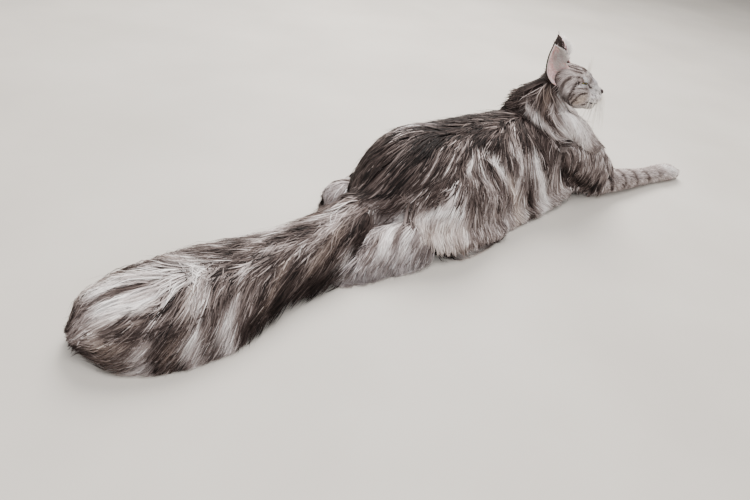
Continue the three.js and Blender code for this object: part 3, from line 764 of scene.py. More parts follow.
class Markings:
    """The coat's pattern, as strokes in space that any surface is painted from."""

    REACH = 2.2

    def __init__(self, surfaces: dict[str, Surface]) -> None:
        """Lay the strokes on their forms.

        Args:
            surfaces: All surfaces by name.
        """
        spots = [
            Mark("head", 0.2, 0.8, ((share + 0.02 * k, angle - 2 * k), (share + 0.02 * k, angle - 2 * k + 1)))
            for share, angle in WHISKER_ROWS
            for k in range(4)
        ]
        self.strokes = []
        self.combs: dict[str, list[tuple[Array, float]]] = {name: [] for name in surfaces}
        for mark in [*MARKS, *spots]:
            share, degrees = np.array(mark.path).T
            self._add(surfaces, mark, mark.form, share, degrees)
            if mark.both:
                self._add(surfaces, mark, mark.form.replace("right", "left"), share, 180 - degrees)

    def _add(self, surfaces: dict[str, Surface], mark: Mark, name: str, share: Array, degrees: Array) -> None:
        """Lay one stroke on a form."""
        rows = np.stack([share * 100, degrees], axis=1)
        rows = spline(rows, 3) if len(rows) > 2 else rows
        path = np.stack([rows[:, 0] / 100, np.radians(rows[:, 1])])
        surface = surfaces[name]
        self.strokes.append((surface.points(*path, -surface.coat * MARK_DEPTH), mark))
        if mark.combs:
            self.combs[name].append((path, mark.wide))

    def combed(self, name: str, at: Array, way: Array, scale: Array) -> Array:
        """Turn hair along the strokes near it.

        Args:
            name: The form.
            at: Shares and angles of the hair.
            way: Its runs along and round the form, of length one.
            scale: Millimetres that one share and one radian span.

        Returns:
            The turned runs.
        """
        total, most = np.zeros_like(way), np.zeros(way.shape[1])
        for path, wide in self.combs[name]:
            tangent = np.gradient(path, axis=1)
            for k in range(path.shape[1]):
                gap = np.hypot(*((at - path[:, k : k + 1]) * scale))
                weight = np.exp(-((gap / (COMB_REACH + wide)) ** 2)) * smooth(0.0, 0.08, at[0])
                along = tangent[:, k : k + 1] * scale
                total += weight * along / np.maximum(np.hypot(*along), 1e-9)
                most = np.maximum(most, weight)
        mean = total / np.maximum(np.hypot(*total), 1e-9)
        mixed = way * (1 - most) + mean * most
        return mixed / np.maximum(np.hypot(*mixed), 1e-9)

    def paint(self, points: Array, tone: Array, warm: Array) -> None:
        """Paint the strokes over tones, in place.

        Args:
            points: Places in the part's frame.
            tone: Their tones.
            warm: Their warmths.
        """
        for line, mark in self.strokes:
            reach = mark.wide * self.REACH
            boxed = (points > line.min(0) - reach) & (points < line.max(0) + reach)
            near = np.all(boxed, axis=1).nonzero()[0]
            if not len(near):
                continue
            p = points[near]
            gap = np.full(len(p), np.inf)
            for a, b in zip(line, line[1:]):
                t = np.clip(((p - a) @ (b - a)) / max(float((b - a) @ (b - a)), 1e-9), 0, 1)
                gap = np.minimum(gap, np.linalg.norm(p - a - t[:, None] * (b - a), axis=1))
            weight = mark.strength * np.exp(-((gap / mark.wide) ** 2.5))
            tone[near] += (mark.tone - tone[near]) * weight
            warm[near] += (mark.warm - warm[near]) * weight


def even(value: float) -> Callable[[Array, Array], Array]:
    """Make a function of share and degrees that gives one value everywhere."""
    return lambda share, degrees: np.full(share.shape, value)


LONG_STEPS = (0.0, 0.34, 0.7, 1.0)
SHORT_STEPS = (0.0, 0.5, 1.0)


@dataclass(frozen=True)
class Pelt:
    """The coat of one surface: how much, how long, how it lies and its tones.

    The lie gives the run along and round the surface by share and degrees. The tone gives a
    base for the pattern, and reach and loft scale the length and add height in millimetres.
    """

    name: str
    surface: Surface
    count: int
    angles: tuple[float, float]
    length: float
    width: float
    lie: Callable[[Array, Array], tuple[Array, Array]]
    tone: Callable[[Array, Array], Array]
    shares: tuple[float, float] = (0.0, 1.0)
    reach: Callable[[Array, Array], Array] = even(1.0)
    loft: Callable[[Array, Array], Array] | None = None
    limits: tuple[float, float] | None = None
    grain: tuple[float, float] = (14, 0.08)
    contrast: float = 0.2
    warm: float = 0.0
    tipped: float = -0.06
    fringe: float = 0.0
    ends: tuple[float, float] = (-0.15, 1.15)
    clump: float = 8.0
    gather: float = 0.55
    wave: float = 1.6
    sway: float = 0.07
    rise: tuple[float, float] = (0.35, 1.0)
    steps: tuple[float, ...] = LONG_STEPS


def lie_from(
    parting: float, sign: float, top: float, side: float, reach: float = 90.0
) -> Callable[[Array, Array], tuple[Array, Array]]:
    """Make a lie that runs along the surface and falls away from a parting.

    Args:
        parting: Angle of the parting, in degrees.
        sign: +1 to run with the share, -1 against it.
        top: Degrees that hair at the parting turns from the path.
        side: Degrees that hair at the reach turns from it.
        reach: Degrees from the parting at which it turns by side.

    Returns:
        A function of share and degrees that gives the run along and round the surface.
    """

    def lie(share: Array, degrees: Array) -> tuple[Array, Array]:
        off = (degrees - parting + 180) % 360 - 180
        turn = np.radians(top + (side - top) * np.clip(np.abs(off) / reach, 0, 1.25))
        return sign * np.cos(turn), np.sign(off) * np.sin(turn)

    return lie


def tail_lie(share: Array, degrees: Array) -> tuple[Array, Array]:
    """Lay the tail's hair: from a parting above its near side, steep over the plume."""
    off = degrees - (62 + 22 * smooth(0.5, 0.8, share))
    steep = 26 + 52 * smooth(0.5, 0.64, share) - 66 * smooth(0.78, 0.97, share)
    near = steep * smooth(0, 9, -off)
    lift = 30 * smooth(0.5, 0.58, share) * smooth(0.74, 0.66, share)
    far = (14 + lift) * smooth(0, 12, off) + 22 * smooth(50, 110, off)
    turn = np.radians(far - near)
    return np.cos(turn), np.sin(turn)


def trunk_lie(share: Array, degrees: Array) -> tuple[Array, Array]:
    """Lay the trunk's hair: back along the spine, down the flanks, forward behind the elbow."""
    off = degrees - 90
    far = np.abs(off)
    turn = 8 + 46 * np.clip(far / 90, 0, 1.2)
    turn += 34 * smooth(40, 100, far) * smooth(0.24, 0.42, share)
    turn += 34 * smooth(58, 100, far) * smooth(0.46, 0.62, share)
    turn = np.radians(turn)
    return -np.cos(turn), np.sign(off) * np.sin(turn)


@dataclass
class Hair:
    """Tufts ready to become a mesh: spines, widths, colours and places on the unwrap."""

    spines: Array
    widths: Array
    outs: Array
    colours: Array
    places: Array
    steps: tuple[float, ...] = LONG_STEPS

    def __len__(self) -> int:
        """Count the tufts."""
        return len(self.spines)

    def part(self, keep: Array) -> Hair:
        """Keep some of the tufts."""
        parts = (getattr(self, name)[keep] for name in ("spines", "widths", "outs", "colours", "places"))
        return Hair(*parts, self.steps)


def spans(surface: Surface, share: Array, angle: Array) -> tuple[Array, Array]:
    """Give the millimetres that one share and one radian span at places on a surface.

    Args:
        surface: The surface.
        share: Shares of the places.
        angle: Their angles.

    Returns:
        The two spans.
    """
    step = 0.004
    base = surface.points(share, angle, -surface.coat)
    inward = np.where(share > 0.5, -step, step)
    along = np.linalg.norm(surface.points(share + inward, angle, -surface.coat) - base, axis=-1) / step
    round_ = np.linalg.norm(surface.points(share, angle + step, -surface.coat) - base, axis=-1) / step
    return np.maximum(along, 8.0), np.maximum(round_, 8.0)


def scattered(pelt: Pelt, rng: np.random.Generator) -> tuple[Array, Array, Array, Array]:
    """Scatter roots evenly over a surface.

    Args:
        pelt: The coat to root.
        rng: The source of chance.

    Returns:
        Shares, angles, and the millimetres that one share and one radian span there.
    """
    n = pelt.count * 4
    share = rng.uniform(*pelt.shares, n)
    angle = np.radians(rng.uniform(*pelt.angles, n))
    along, round_ = spans(pelt.surface, share, angle)
    chance = along * round_
    pick = rng.choice(n, pelt.count, replace=False, p=chance / chance.sum())
    return share[pick], angle[pick], along[pick], round_[pick]


def locks(pelt: Pelt, markings: Markings, rng: np.random.Generator) -> Array:
    """Lay extra tufts along the strokes that comb a surface, so that each shows as a lock.

    Args:
        pelt: The coat of the surface.
        markings: The coat's pattern.
        rng: The source of chance.

    Returns:
        Shares and angles of every ring of every tuft.
    """
    found = []
    s = np.array(pelt.steps)[None]
    for path, wide in markings.combs[pelt.name]:
        scale = np.stack(spans(pelt.surface, *path)).mean(axis=1)[:, None]
        line = path * scale
        run = np.concatenate([[0], np.cumsum(np.hypot(*np.diff(line, axis=1)))])
        n = int(LOCK_DENSITY * wide * run[-1])
        start = rng.uniform(*LOCK_STARTS, (n, 1)) * run[-1]
        at = start + pelt.length * rng.uniform(*LOCK_LENGTHS, (n, 1)) * s
        inside = np.clip(at, 0, run[-1])
        way = np.gradient(line, axis=1)
        way /= np.maximum(np.hypot(*way), 1e-9)
        here = np.stack([np.interp(inside, run, row) for row in line])
        turn = np.stack([np.interp(inside, run, row) for row in way])
        offset = rng.normal(0, LOCK_SPREAD * wide, (n, 1)) * (1 - LOCK_TAPER * s)
        beside = np.stack([-turn[1], turn[0]]) * offset
        found.append((here + turn * (at - inside) + beside) / scale[..., None])
    return np.concatenate(found, axis=1) if found else np.zeros((2, 0, len(pelt.steps)))


def leaders_of(points: Array, share: float, rng: np.random.Generator) -> Array:
    """Give each tuft the nearest of a sparser set, its clump's leader."""
    chosen = rng.choice(len(points), max(8, int(len(points) / share)), replace=False)
    tree = KDTree(len(chosen))
    for k, i in enumerate(chosen):
        tree.insert(points[i], k)
    tree.balance()
    return chosen[[tree.find(p)[1] for p in points]]


def fallen(spines: Array, outs: Array, excess: Array, floor: Array) -> Array:
    """Let hair that passes a form's side hang to the floor and spread over it.

    Args:
        spines: Points of the hair.
        outs: Its directions out of the form.
        excess: Millimetres of each point's run past the side.
        floor: Least height of each tuft.

    Returns:
        The fallen points.
    """
    out = spines.copy()
    level = unit(outs * np.array([1, 1, 0]))
    out[..., 2] -= excess * HANG
    under = np.maximum(floor - out[..., 2], 0)
    push = np.minimum(under * SPLAY + excess * (1 - HANG), MOST_SPLAY)
    out[..., :2] += level[..., :2] * push[..., None]
    out[..., 2] = np.maximum(out[..., 2], floor)
    return out


def runs(pelt: Pelt, markings: Markings, rng: np.random.Generator) -> Array:
    """Run the tufts over their surface along its combed lie.

    Args:
        pelt: The coat to grow.
        markings: The coat's pattern.
        rng: The source of chance.

    Returns:
        Shares and angles of every ring of every tuft, those of the locks last.
    """
    share, angle, along, round_ = scattered(pelt, rng)
    sway = rng.normal(0, pelt.sway, pelt.count)
    cosine, sine_ = np.cos(sway), np.sin(sway)
    length = pelt.length * pelt.reach(share, np.degrees(angle)) * rng.uniform(*LENGTHS, pelt.count)
    scale = np.stack([along, round_])
    stops = [np.stack([share, angle])]
    for ahead in np.diff(pelt.steps):
        at = stops[-1]
        way = markings.combed(pelt.name, at, np.stack(pelt.lie(at[0], np.degrees(at[1]))), scale)
        way = np.stack([way[0] * cosine - way[1] * sine_, way[1] * cosine + way[0] * sine_])
        stops.append(at + way * length * ahead / scale)
    return np.concatenate([np.stack(stops, axis=2), locks(pelt, markings, rng)], axis=1)


def base_tones(pelt: Pelt, markings: Markings, path: Array) -> tuple[Array, Array]:
    """Give tones and warmths from a pelt's base with the pattern painted over it.

    Args:
        pelt: The coat to colour.
        markings: The coat's pattern.
        path: Shares and angles of every ring of every tuft.

    Returns:
        The tone and the warmth of every ring.
    """
    surface = pelt.surface
    tone = pelt.tone(path[0], np.degrees(path[1])) + pelt.tipped * np.array(pelt.steps)[None]
    shape = tone.shape
    warm = np.full(shape, pelt.warm)
    level = surface.points(path[0], path[1], -surface.coat * MARK_DEPTH)
    tone, warm = tone.ravel(), warm.ravel()
    markings.paint(level.reshape(-1, 3), tone, warm)
    return tone.reshape(shape), warm.reshape(shape)


def loose_tones(
    pelt: Pelt, places: tuple[Array, Array], leaders: tuple[Array, Array], rng: np.random.Generator, seed: int
) -> Array:
    """Vary the tone over a surface, from clump to clump and from tuft to tuft.

    Args:
        pelt: The coat to colour.
        places: Shares and degrees of the roots.
        leaders: The leader of each tuft's clump, and of its big clump.
        rng: The source of chance.
        seed: Which noise to read.

    Returns:
        What to add to each tuft's tone.
    """
    (share, degrees), (lead, big) = places, leaders
    count, contrast = len(share), pelt.contrast
    x, y = share * pelt.grain[0], degrees * pelt.grain[1]
    coarse = wave_noise(x, y, seed) - 0.5
    fine = wave_noise(x * FINE_GRAIN + 7, y * FINE_GRAIN + 3, seed + 50) - 0.5
    loose = contrast * (0.5 * coarse + 0.6 * fine) + rng.normal(0, 0.3 * contrast, count)[lead]
    loose += rng.normal(0, 0.34 * contrast, count) + rng.normal(0, 0.2 * contrast, count)[big]
    return loose + np.where(rng.random(count) < SILVER_SHARE, SILVER_GAIN * contrast, 0)


def grow(pelt: Pelt, markings: Markings, seed: int) -> Hair:
    """Grow the tufts of a pelt over its surface.

    Args:
        pelt: The coat to grow.
        markings: The coat's pattern.
        seed: What to draw chances from.

    Returns:
        Its tufts, in millimetres.
    """
    rng = np.random.default_rng(SEED + seed)
    surface = pelt.surface
    s = np.array(pelt.steps)[None]
    own = runs(pelt, markings, rng)
    share, angle = own[..., 0]
    degrees = np.degrees(angle)
    count = len(share)
    round_ = spans(surface, share, angle)[1][:, None]
    roots = surface.points(share, angle, -surface.coat)
    lead = leaders_of(roots, pelt.clump, rng)
    big = leaders_of(roots, pelt.clump * BIG_CLUMP, rng)
    free = np.arange(count) < pelt.count
    rise = np.where(free, rng.uniform(*pelt.rise, count), rng.uniform(*LOCK_RISE, count))

    pull = pelt.gather * s**1.4 * np.where(free, 1, LOCK_GATHER)[:, None]
    path = own * (1 - pull) + own[:, lead] * pull
    path = path * (1 - BIG_PULL * pull) + own[:, big] * BIG_PULL * pull
    phase = rng.uniform(0, 2 * np.pi, count)[lead][:, None]
    path[1] += pelt.wave * np.sin(phase + WAVE_TURN * s) * s / round_
    path[0] = np.maximum(path[0], pelt.ends[0])
    over = np.maximum(path[0] - pelt.ends[1], 0)
    room = END_ROOM * rng.uniform(0.6, 1.6, (count, 1))
    path[0] = np.minimum(path[0], pelt.ends[1]) + room * (1 - np.exp(-over / room))
    excess = np.zeros_like(path[1])
    past = excess - 99.0
    if pelt.limits is not None:
        low, high = np.radians(pelt.limits)
        past = np.maximum(low - path[1], path[1] - high) * round_
        excess = np.maximum(past, 0)
        path[1] = np.clip(path[1], low, high)

    height = rise * OWN_RISE + rise[lead] * (1 - OWN_RISE)
    height = height[:, None] * np.sin(np.clip(s * 1.2, 0, 1) * np.pi / 2)
    bottom = -surface.coat * surface.core - 1.0
    lift = bottom - bottom * height
    if pelt.loft is not None:
        lift += pelt.loft(share, degrees)[:, None] * height * s
    lift -= END_DROP * (1 - np.exp(-over / END_ROOM))
    stray = free & (rng.random(count) < STRAY_SHARE)
    most = STRAY_LIFT * min(1.0, pelt.length / 40)
    lift += np.where(stray, most * rng.random(count), 0)[:, None] * s**2
    spines = surface.points(path[0], path[1], lift)
    outs = unit(surface.points(path[0], path[1], 20.0) - surface.points(path[0], path[1], 0.0))
    spines = fallen(spines, outs, excess, FLOOR_CLEARANCE + 3.0 * rng.random((count, 1)) * s)

    tone, warm = base_tones(pelt, markings, path)
    loose = loose_tones(pelt, (share, degrees), (lead, big), rng, seed)
    tone = tone + np.where(free, loose, loose * 0.5)[:, None]
    tone += pelt.fringe * smooth(*FRINGE_BAND, past)
    # Painted shade: each tuft's colour is darkened towards its root, where the coat shades itself.
    colours = coat_colour(tone, warm) * (ROOT_SHADE + TIP_GAIN * smooth(0.0, 0.3, s))[..., None]
    widths = pelt.width * rng.uniform(0.7, 1.25, count) * np.where(stray, 0.5, 1.0)
    widths = widths * np.where(free, 1.0, 1.05)
    places = np.stack([np.clip(share, 0, 1), (degrees + 360) % 360 / 360], axis=1)
    return Hair(spines, widths, outs, colours, places, pelt.steps)


def tuft_mesh(name: str, hair: Hair, even_shade: bool = True) -> bpy.types.Object:
    """Make one mesh of closed three-sided tufts.

    Args:
        name: Name of the object.
        hair: The tufts.
        even_shade: Whether the tufts are shaded like the surface that they lie on.

    Returns:
        The object, with colours and the unwrap for baking.
    """
    steps = np.array(hair.steps)
    n, rings = len(hair), len(steps) - 1
    forward = unit(np.gradient(hair.spines, axis=1))
    across = unit(np.cross(forward, hair.outs))
    outs = unit(np.cross(across, forward))
    girth = np.interp(steps, (0, 0.35, 0.7, 1), (0.8, 1, 0.72, 0))
    half = (hair.widths[:, None] * girth[None] / 2)[..., None]
    corners = [
        hair.spines - across * half,
        hair.spines + across * half,
        hair.spines + outs * half * 0.8,
    ]
    body = np.stack([c[:, :rings] for c in corners], axis=2).reshape(n, rings * 3, 3)
    verts = np.concatenate([body, hair.spines[:, -1:]], axis=1)
    per = rings * 3 + 1
    quads = [
        (r * 3 + k, r * 3 + (k + 1) % 3, r * 3 + 3 + (k + 1) % 3, r * 3 + 3 + k)
        for r in range(rings - 1)
        for k in range(3)
    ]
    last = (rings - 1) * 3
    tris = [(last + k, last + (k + 1) % 3, per - 1) for k in range(3)] + [(2, 1, 0)]
    loops = np.array([v for face in quads + tris for v in reversed(face)])
    sizes = np.array([len(face) for face in quads + tris])
    mesh = bpy.data.meshes.new(name)
    mesh.vertices.add(n * per)
    mesh.vertices.foreach_set("co", (verts * MM).astype(np.float32).ravel())
    all_loops = ((np.arange(n) * per)[:, None] + loops[None]).ravel()
    mesh.loops.add(len(all_loops))
    mesh.loops.foreach_set("vertex_index", all_loops.astype(np.int32))
    all_sizes = np.tile(sizes, n)
    starts = np.concatenate([[0], np.cumsum(all_sizes)[:-1]])
    mesh.polygons.add(len(all_sizes))
    mesh.polygons.foreach_set("loop_start", starts.astype(np.int32))
    mesh.polygons.foreach_set("use_smooth", np.ones(len(all_sizes), bool))
    mesh.update(calc_edges=True)
    if even_shade:
        own = np.stack([outs * 0.3 - across, outs * 0.3 + across, outs], axis=2)
        soft = unit(own * 0.45 + outs[:, :, None])
        soft = np.concatenate([soft[:, :rings].reshape(n, rings * 3, 3), soft[:, -1, 2:]], axis=1)
        mesh.normals_split_custom_set_from_vertices(soft.reshape(-1, 3))

    ring_of = np.concatenate([np.repeat(np.arange(rings), 3), [rings]])
    rgba = np.concatenate([hair.colours[:, ring_of], np.ones((n, per, 1))], axis=2)
    layer = mesh.color_attributes.new(COLOUR_NAME, "FLOAT_COLOR", "POINT")
    layer.data.foreach_set("color", rgba.astype(np.float32).ravel())
    sideways = np.concatenate([np.tile([-0.5, 0.5, 0.0], rings), [0.0]])
    offset = np.stack([sideways, steps[ring_of] - 0.5], axis=1) * PATCH
    uv = 0.01 + 0.98 * hair.places[:, None] + offset[None]
    unwrap = mesh.uv_layers.new(name=UV_NAME)
    unwrap.data.foreach_set("uv", uv.reshape(-1, 2)[all_loops].astype(np.float32).ravel())
    return placed(name, mesh)


def placed(name: str, data: bpy.types.ID) -> bpy.types.Object:
    """Put data into the scene as an object."""
    obj = bpy.data.objects.new(name, data)
    bpy.context.collection.objects.link(obj)
    return obj


def points_of(obj: bpy.types.Object) -> Array:
    """Read the points of an object's mesh, in metres."""
    co = np.empty(len(obj.data.vertices) * 3, np.float32)
    obj.data.vertices.foreach_get("co", co)
    return co.reshape(-1, 3)


def turned(faces: Sequence[Sequence[int]]) -> Faces:
    """Turn faces inside out."""
    return [tuple(reversed(f)) for f in faces]


def plain_object(name: str, verts: Array, faces: Sequence[Sequence[int]]) -> bpy.types.Object:
    """Make a smooth object from points in millimetres and faces."""
    mesh = bpy.data.meshes.new(name)
    mesh.from_pydata((np.asarray(verts) * MM).tolist(), [], [list(f) for f in faces])
    mesh.update()
    mesh.polygons.foreach_set("use_smooth", np.ones(len(mesh.polygons), bool))
    return placed(name, mesh)


def grid_faces(rows: int, columns: int) -> Faces:
    """Give the quads of a grid of points that is closed round its columns."""
    faces = []
    for low in range(0, (rows - 1) * columns, columns):
        high = low + columns
        for j in range(columns):
            k = (j + 1) % columns
            faces.append((low + j, low + k, high + k, high + j))
    return faces


def toward(polar: Array, angle: Array) -> Array:
    """Give directions by the angle from the third axis and the angle round it."""
    return np.stack([np.sin(polar) * np.cos(angle), np.sin(polar) * np.sin(angle), np.cos(polar)], axis=-1)


def ball_grid(rows: int, columns: int, edge: float) -> tuple[Array, Array, Faces]:
    """Lay a closed grid over a ball.

    Args:
        rows: Rings from pole to pole.
        columns: Points in a ring.
        edge: Radians from a pole to the ring nearest to it.

    Returns:
        Angles from the pole, angles round it, and faces.
    """
    around = np.arange(columns) / columns * 2 * np.pi
    polar, angle = np.meshgrid(np.linspace(edge, np.pi - edge, rows), around, indexing="ij")
    faces = turned(grid_faces(rows, columns))
    faces.append(tuple(range(columns)))
    faces.append(tuple(reversed(range((rows - 1) * columns, rows * columns))))
    return polar, angle, faces


def sweep_shell(form: Sweep, lift: float, rows: int = 60, columns: int = 48) -> tuple[Array, Faces]:
    # The lids' colours are raised, up to a cap, so that the painted shade that paint_from_roots lays on is
    # undone.
    """Loft a closed shell over a form.

    Args:
        form: The form.
        lift: Distance out from the tips of the coat.
        rows: Sections along it.
        columns: Points round it.

    Returns:
        Points and faces.
    """
    around = np.arange(columns) / columns * 2 * np.pi
    share, angle = np.meshgrid(np.linspace(0, 1, rows), around, indexing="ij")
    points = form.points(share, angle, lift).reshape(-1, 3)
    ends = []
    for at, sign in ((0.0, -1.0), (1.0, 1.0)):
        row = form.section(np.array([at]))[0]
        ends.append(row[:3] + row[3:6] * sign * max(row[12] + lift, form.LEAST_HALF) * 0.35)
    faces = grid_faces(rows, columns)
    count = rows * columns
    for j in range(columns):
        k = (j + 1) % columns
        faces.append((count, k, j))
        faces.append((count + 1, count - columns + j, count - columns + k))
    return np.vstack([points, ends]), faces


def ball_shell(middle: Sequence[float], half: Sequence[float], rows: int = 20) -> tuple[Array, Faces]:
    """Make a closed ellipsoid of points and faces."""
    polar, angle, faces = ball_grid(rows, rows * 2, 0.02)
    return toward(polar, angle).reshape(-1, 3) * np.array(half) + np.array(middle), faces


def remeshed(obj: bpy.types.Object, voxel: float, ease: int) -> None:
    """Fuse an object's overlapping shells into one skin and ease it.

    Args:
        obj: The object, changed in place.
        voxel: Voxel size in millimetres.
        ease: Rounds of smoothing.
    """
    remesh = obj.modifiers.new("Fuse", "REMESH")
    remesh.mode = "VOXEL"
    remesh.voxel_size = voxel * MM
    remesh.use_smooth_shade = True
    easing = obj.modifiers.new("Ease", "SMOOTH")
    easing.factor = 0.5
    easing.iterations = ease
    applied(obj)


def applied(obj: bpy.types.Object) -> None:
    """Apply an object's modifiers to its mesh."""
    graph = bpy.context.evaluated_depsgraph_get()
    mesh = bpy.data.meshes.new_from_object(obj.evaluated_get(graph))
    old = obj.data
    obj.modifiers.clear()
    obj.data = mesh
    mesh.name = old.name
    bpy.data.meshes.remove(old)


class Shader:
    """A small helper that adds and links the nodes of one material."""

    def __init__(self, name: str) -> None:
        """Start a material with its Principled shader.

        Args:
            name: Name of the material.
        """
        self.material = bpy.data.materials.new(name)
        self.material.use_nodes = True
        self.nodes = self.material.node_tree.nodes
        self.links = self.material.node_tree.links
        self.main = self.nodes["Principled BSDF"]

    def node(self, kind: str, **values: object) -> bpy.types.Node:
        """Add a node and set its properties or inputs.

        Args:
            kind: Type name of the node.
            values: Properties, or inputs by name with blanks as underscores.

        Returns:
            The node.
        """
        made = self.nodes.new(kind)
        for key, value in values.items():
            if hasattr(made, key):
                setattr(made, key, value)
            else:
                made.inputs[key.replace("_", " ")].default_value = value
        return made

    def link(self, source: bpy.types.NodeSocket, target: bpy.types.NodeSocket) -> None:
        """Join two sockets."""
        self.links.new(source, target)

    def noise(self, scale: float, detail: float, coordinates: bpy.types.NodeSocket) -> bpy.types.Node:
        """Add a noise texture."""
        made = self.node("ShaderNodeTexNoise", Scale=scale, Detail=detail)
        self.link(coordinates, made.inputs["Vector"])
        return made

    def bump(self, height: bpy.types.NodeSocket, strength: float, distance: float) -> None:
        """Add a bump from a height."""
        made = self.node("ShaderNodeBump", Strength=strength, Distance=distance)
        self.link(height, made.inputs["Height"])
        self.link(made.outputs["Normal"], self.main.inputs["Normal"])

    def set(self, **values: object) -> None:
        """Set inputs of the Principled shader, by name with blanks as underscores."""
        for key, value in values.items():
            self.main.inputs[key.replace("_", " ")].default_value = value


def hair_material(
    name: str, noise: tuple[float, float], shades: tuple[float, float], gloss: tuple[float, float],
    bump: tuple[float, float],
) -> bpy.types.Material:
    """Make a finish that takes its colour from the coat's attribute, with noise over it.

    Args:
        name: Name of the material.
        noise: Scale and detail of the noise.
        shades: Factors on the colour where the noise is low and high.
        gloss: Roughness and specular level.
        bump: Strength and distance of the bump.

    Returns:
        The material.
    """
    made = Shader(name)
    colour = made.node("ShaderNodeVertexColor", layer_name=COLOUR_NAME)
    place = made.node("ShaderNodeTexCoord")
    grain = made.noise(*noise, place.outputs["Object"])
    shade = made.node("ShaderNodeMapRange", From_Min=0.3, From_Max=0.7, To_Min=shades[0], To_Max=shades[1])
    made.link(grain.outputs["Fac"], shade.inputs["Value"])
    mix = made.node("ShaderNodeVectorMath", operation="SCALE")
    made.link(colour.outputs["Color"], mix.inputs[0])
    made.link(shade.outputs["Result"], mix.inputs["Scale"])
    made.link(mix.outputs["Vector"], made.main.inputs["Base Color"])
    made.set(Roughness=gloss[0], Specular_IOR_Level=gloss[1])
    made.bump(grain.outputs["Fac"], *bump)
    return made.material


@dataclass(frozen=True)
class Finish:
    """A finish with a noisy colour and a bump."""

    name: str
    dark: tuple[float, float, float]
    light: tuple[float, float, float]
    scale: float
    roughness: float
    bump: float = 0.2
    specular: float = 0.4
    subsurface: float = 0.0

    def material(self) -> bpy.types.Material:
        """Make the material."""
        made = Shader(self.name)
        place = made.node("ShaderNodeTexCoord")
        noise = made.noise(self.scale, 4.0, place.outputs["Object"])
        ramp = made.node("ShaderNodeValToRGB")
        for stop, place, colour in zip(ramp.color_ramp.elements, (0.35, 0.65), (self.dark, self.light)):
            stop.position = place
            stop.color = (*linear(colour), 1)
        made.link(noise.outputs["Fac"], ramp.inputs["Fac"])
        made.link(ramp.outputs["Color"], made.main.inputs["Base Color"])
        made.set(Roughness=self.roughness, Specular_IOR_Level=self.specular)
        made.set(Subsurface_Weight=self.subsurface, Subsurface_Scale=0.003)
        made.bump(noise.outputs["Fac"], self.bump, 0.0006)
        return made.material


NOSE = Finish("NoseLeather", (40, 30, 32), (66, 52, 54), 1400.0, 0.42, 0.35)
LINER = Finish("LidRim", (20, 16, 17), (38, 30, 31), 900.0, 0.4)
EAR_SKIN = Finish("EarSkin", (208, 168, 166), (246, 216, 214), 220.0, 0.6, 0.2, 0.3, 0.2)
WHISKER = Finish("Whisker", (222, 214, 200), (244, 240, 232), 60.0, 0.35)


def body_forms() -> dict[str, Sweep]:
    """Build the swept forms of the body by name."""
    forms = {
        "trunk": Sweep(TRUNK, 20, power=2.05, under=3.2),
        "neck": Sweep(NECK, 26, up=(1, 0, 0), power=2),
        "bib": Sweep(BIB, 14, up=(1, -1, 1), power=2),
        "chest": Sweep(CHEST, 10, up=(1, 0, 0), power=2),
        "tail": Sweep(TAIL, 34),
    }
    for side in Side:
        right = side is Side.RIGHT
        tag = side.name.lower()
        forms[f"thigh_{tag}"] = Sweep(THIGH if right else LEFT_THIGH, 14, side=side)
        forms[f"breech_{tag}"] = Sweep(BREECH if right else LEFT_BREECH, 14, side=side)
        forms[f"foot_{tag}"] = Sweep(HIND_FOOT, 6, side=side)
        forms[f"arm_{tag}"] = Sweep(UPPER_ARM, 10, side=side)
        forms[f"forearm_{tag}"] = Sweep(FOREARM, 6, side=side)
    return forms


def sine(degrees: Array) -> Array:
    """Give the sine of degrees."""
    return np.sin(np.radians(degrees))


def trunk_tone(share: Array, degrees: Array) -> Array:
    """Give the trunk's base tone: dark along the back, lighter down the flanks."""
    off = np.abs(degrees - 90)
    return 0.13 + 0.15 * smooth(20, 65, off) + 0.34 * smooth(70, 104, off)


def tail_tone(share: Array, degrees: Array) -> Array:
    """Give the tail's base tone: brown-grey, silver over the plume, dark below and at the end."""
    near = smooth(110, 70, degrees) * smooth(-20, 20, degrees)
    tone = 0.36 + 0.24 * near * smooth(0.6, 0.76, share) - 0.12 * smooth(115, 170, degrees)
    tone -= 0.14 * smooth(0.16, 0.02, share)
    return tone - 0.12 * smooth(0.93, 1.0, share) - 0.14 * smooth(5, -25, degrees)


def neck_tone(share: Array, degrees: Array) -> Array:
    """Give the neck's base tone: dark nape, silver throat under the turned head."""
    front = smooth(0.3, 0.72, np.cos(np.radians(degrees - 35)))
    return 0.24 + front * (0.66 - 0.4 * smooth(0.68, 0.85, share))


def head_tone(share: Array, degrees: Array) -> Array:
    """Give the head's base tone: silver face, pale jaw, dark behind the ears."""
    turn = degrees % 360
    below = smooth(215, 250, turn) * smooth(325, 290, turn)
    behind = smooth(0.7, 0.84, share) * (1 - 0.8 * below)
    return 0.66 + 0.26 * below - 0.44 * behind


def head_loft(share: Array, degrees: Array) -> Array:
    """Give the height of the hair over the back of the head and its crown."""
    crown = smooth(-0.4, 0.4, sine(degrees))
    return 7.0 * smooth(0.5, 0.72, share) + 7.0 * smooth(0.72, 0.85, share) * crown


def head_lie(share: Array, degrees: Array) -> tuple[Array, Array]:
    """Lay the face's hair back from the nose, and down over the cheeks."""
    turn = degrees % 360
    cheek = smooth(0.4, 0.7, share)
    down = np.where(turn < 270, smooth(100, 170, turn) * smooth(262, 235, turn), 0)
    down = down - np.where((turn < 80) | (turn > 278), smooth(80, 10, (turn + 90) % 360 - 90), 0)
    bend = np.radians(62) * cheek * np.clip(down, -1, 1)
    return np.cos(bend), np.sin(bend)


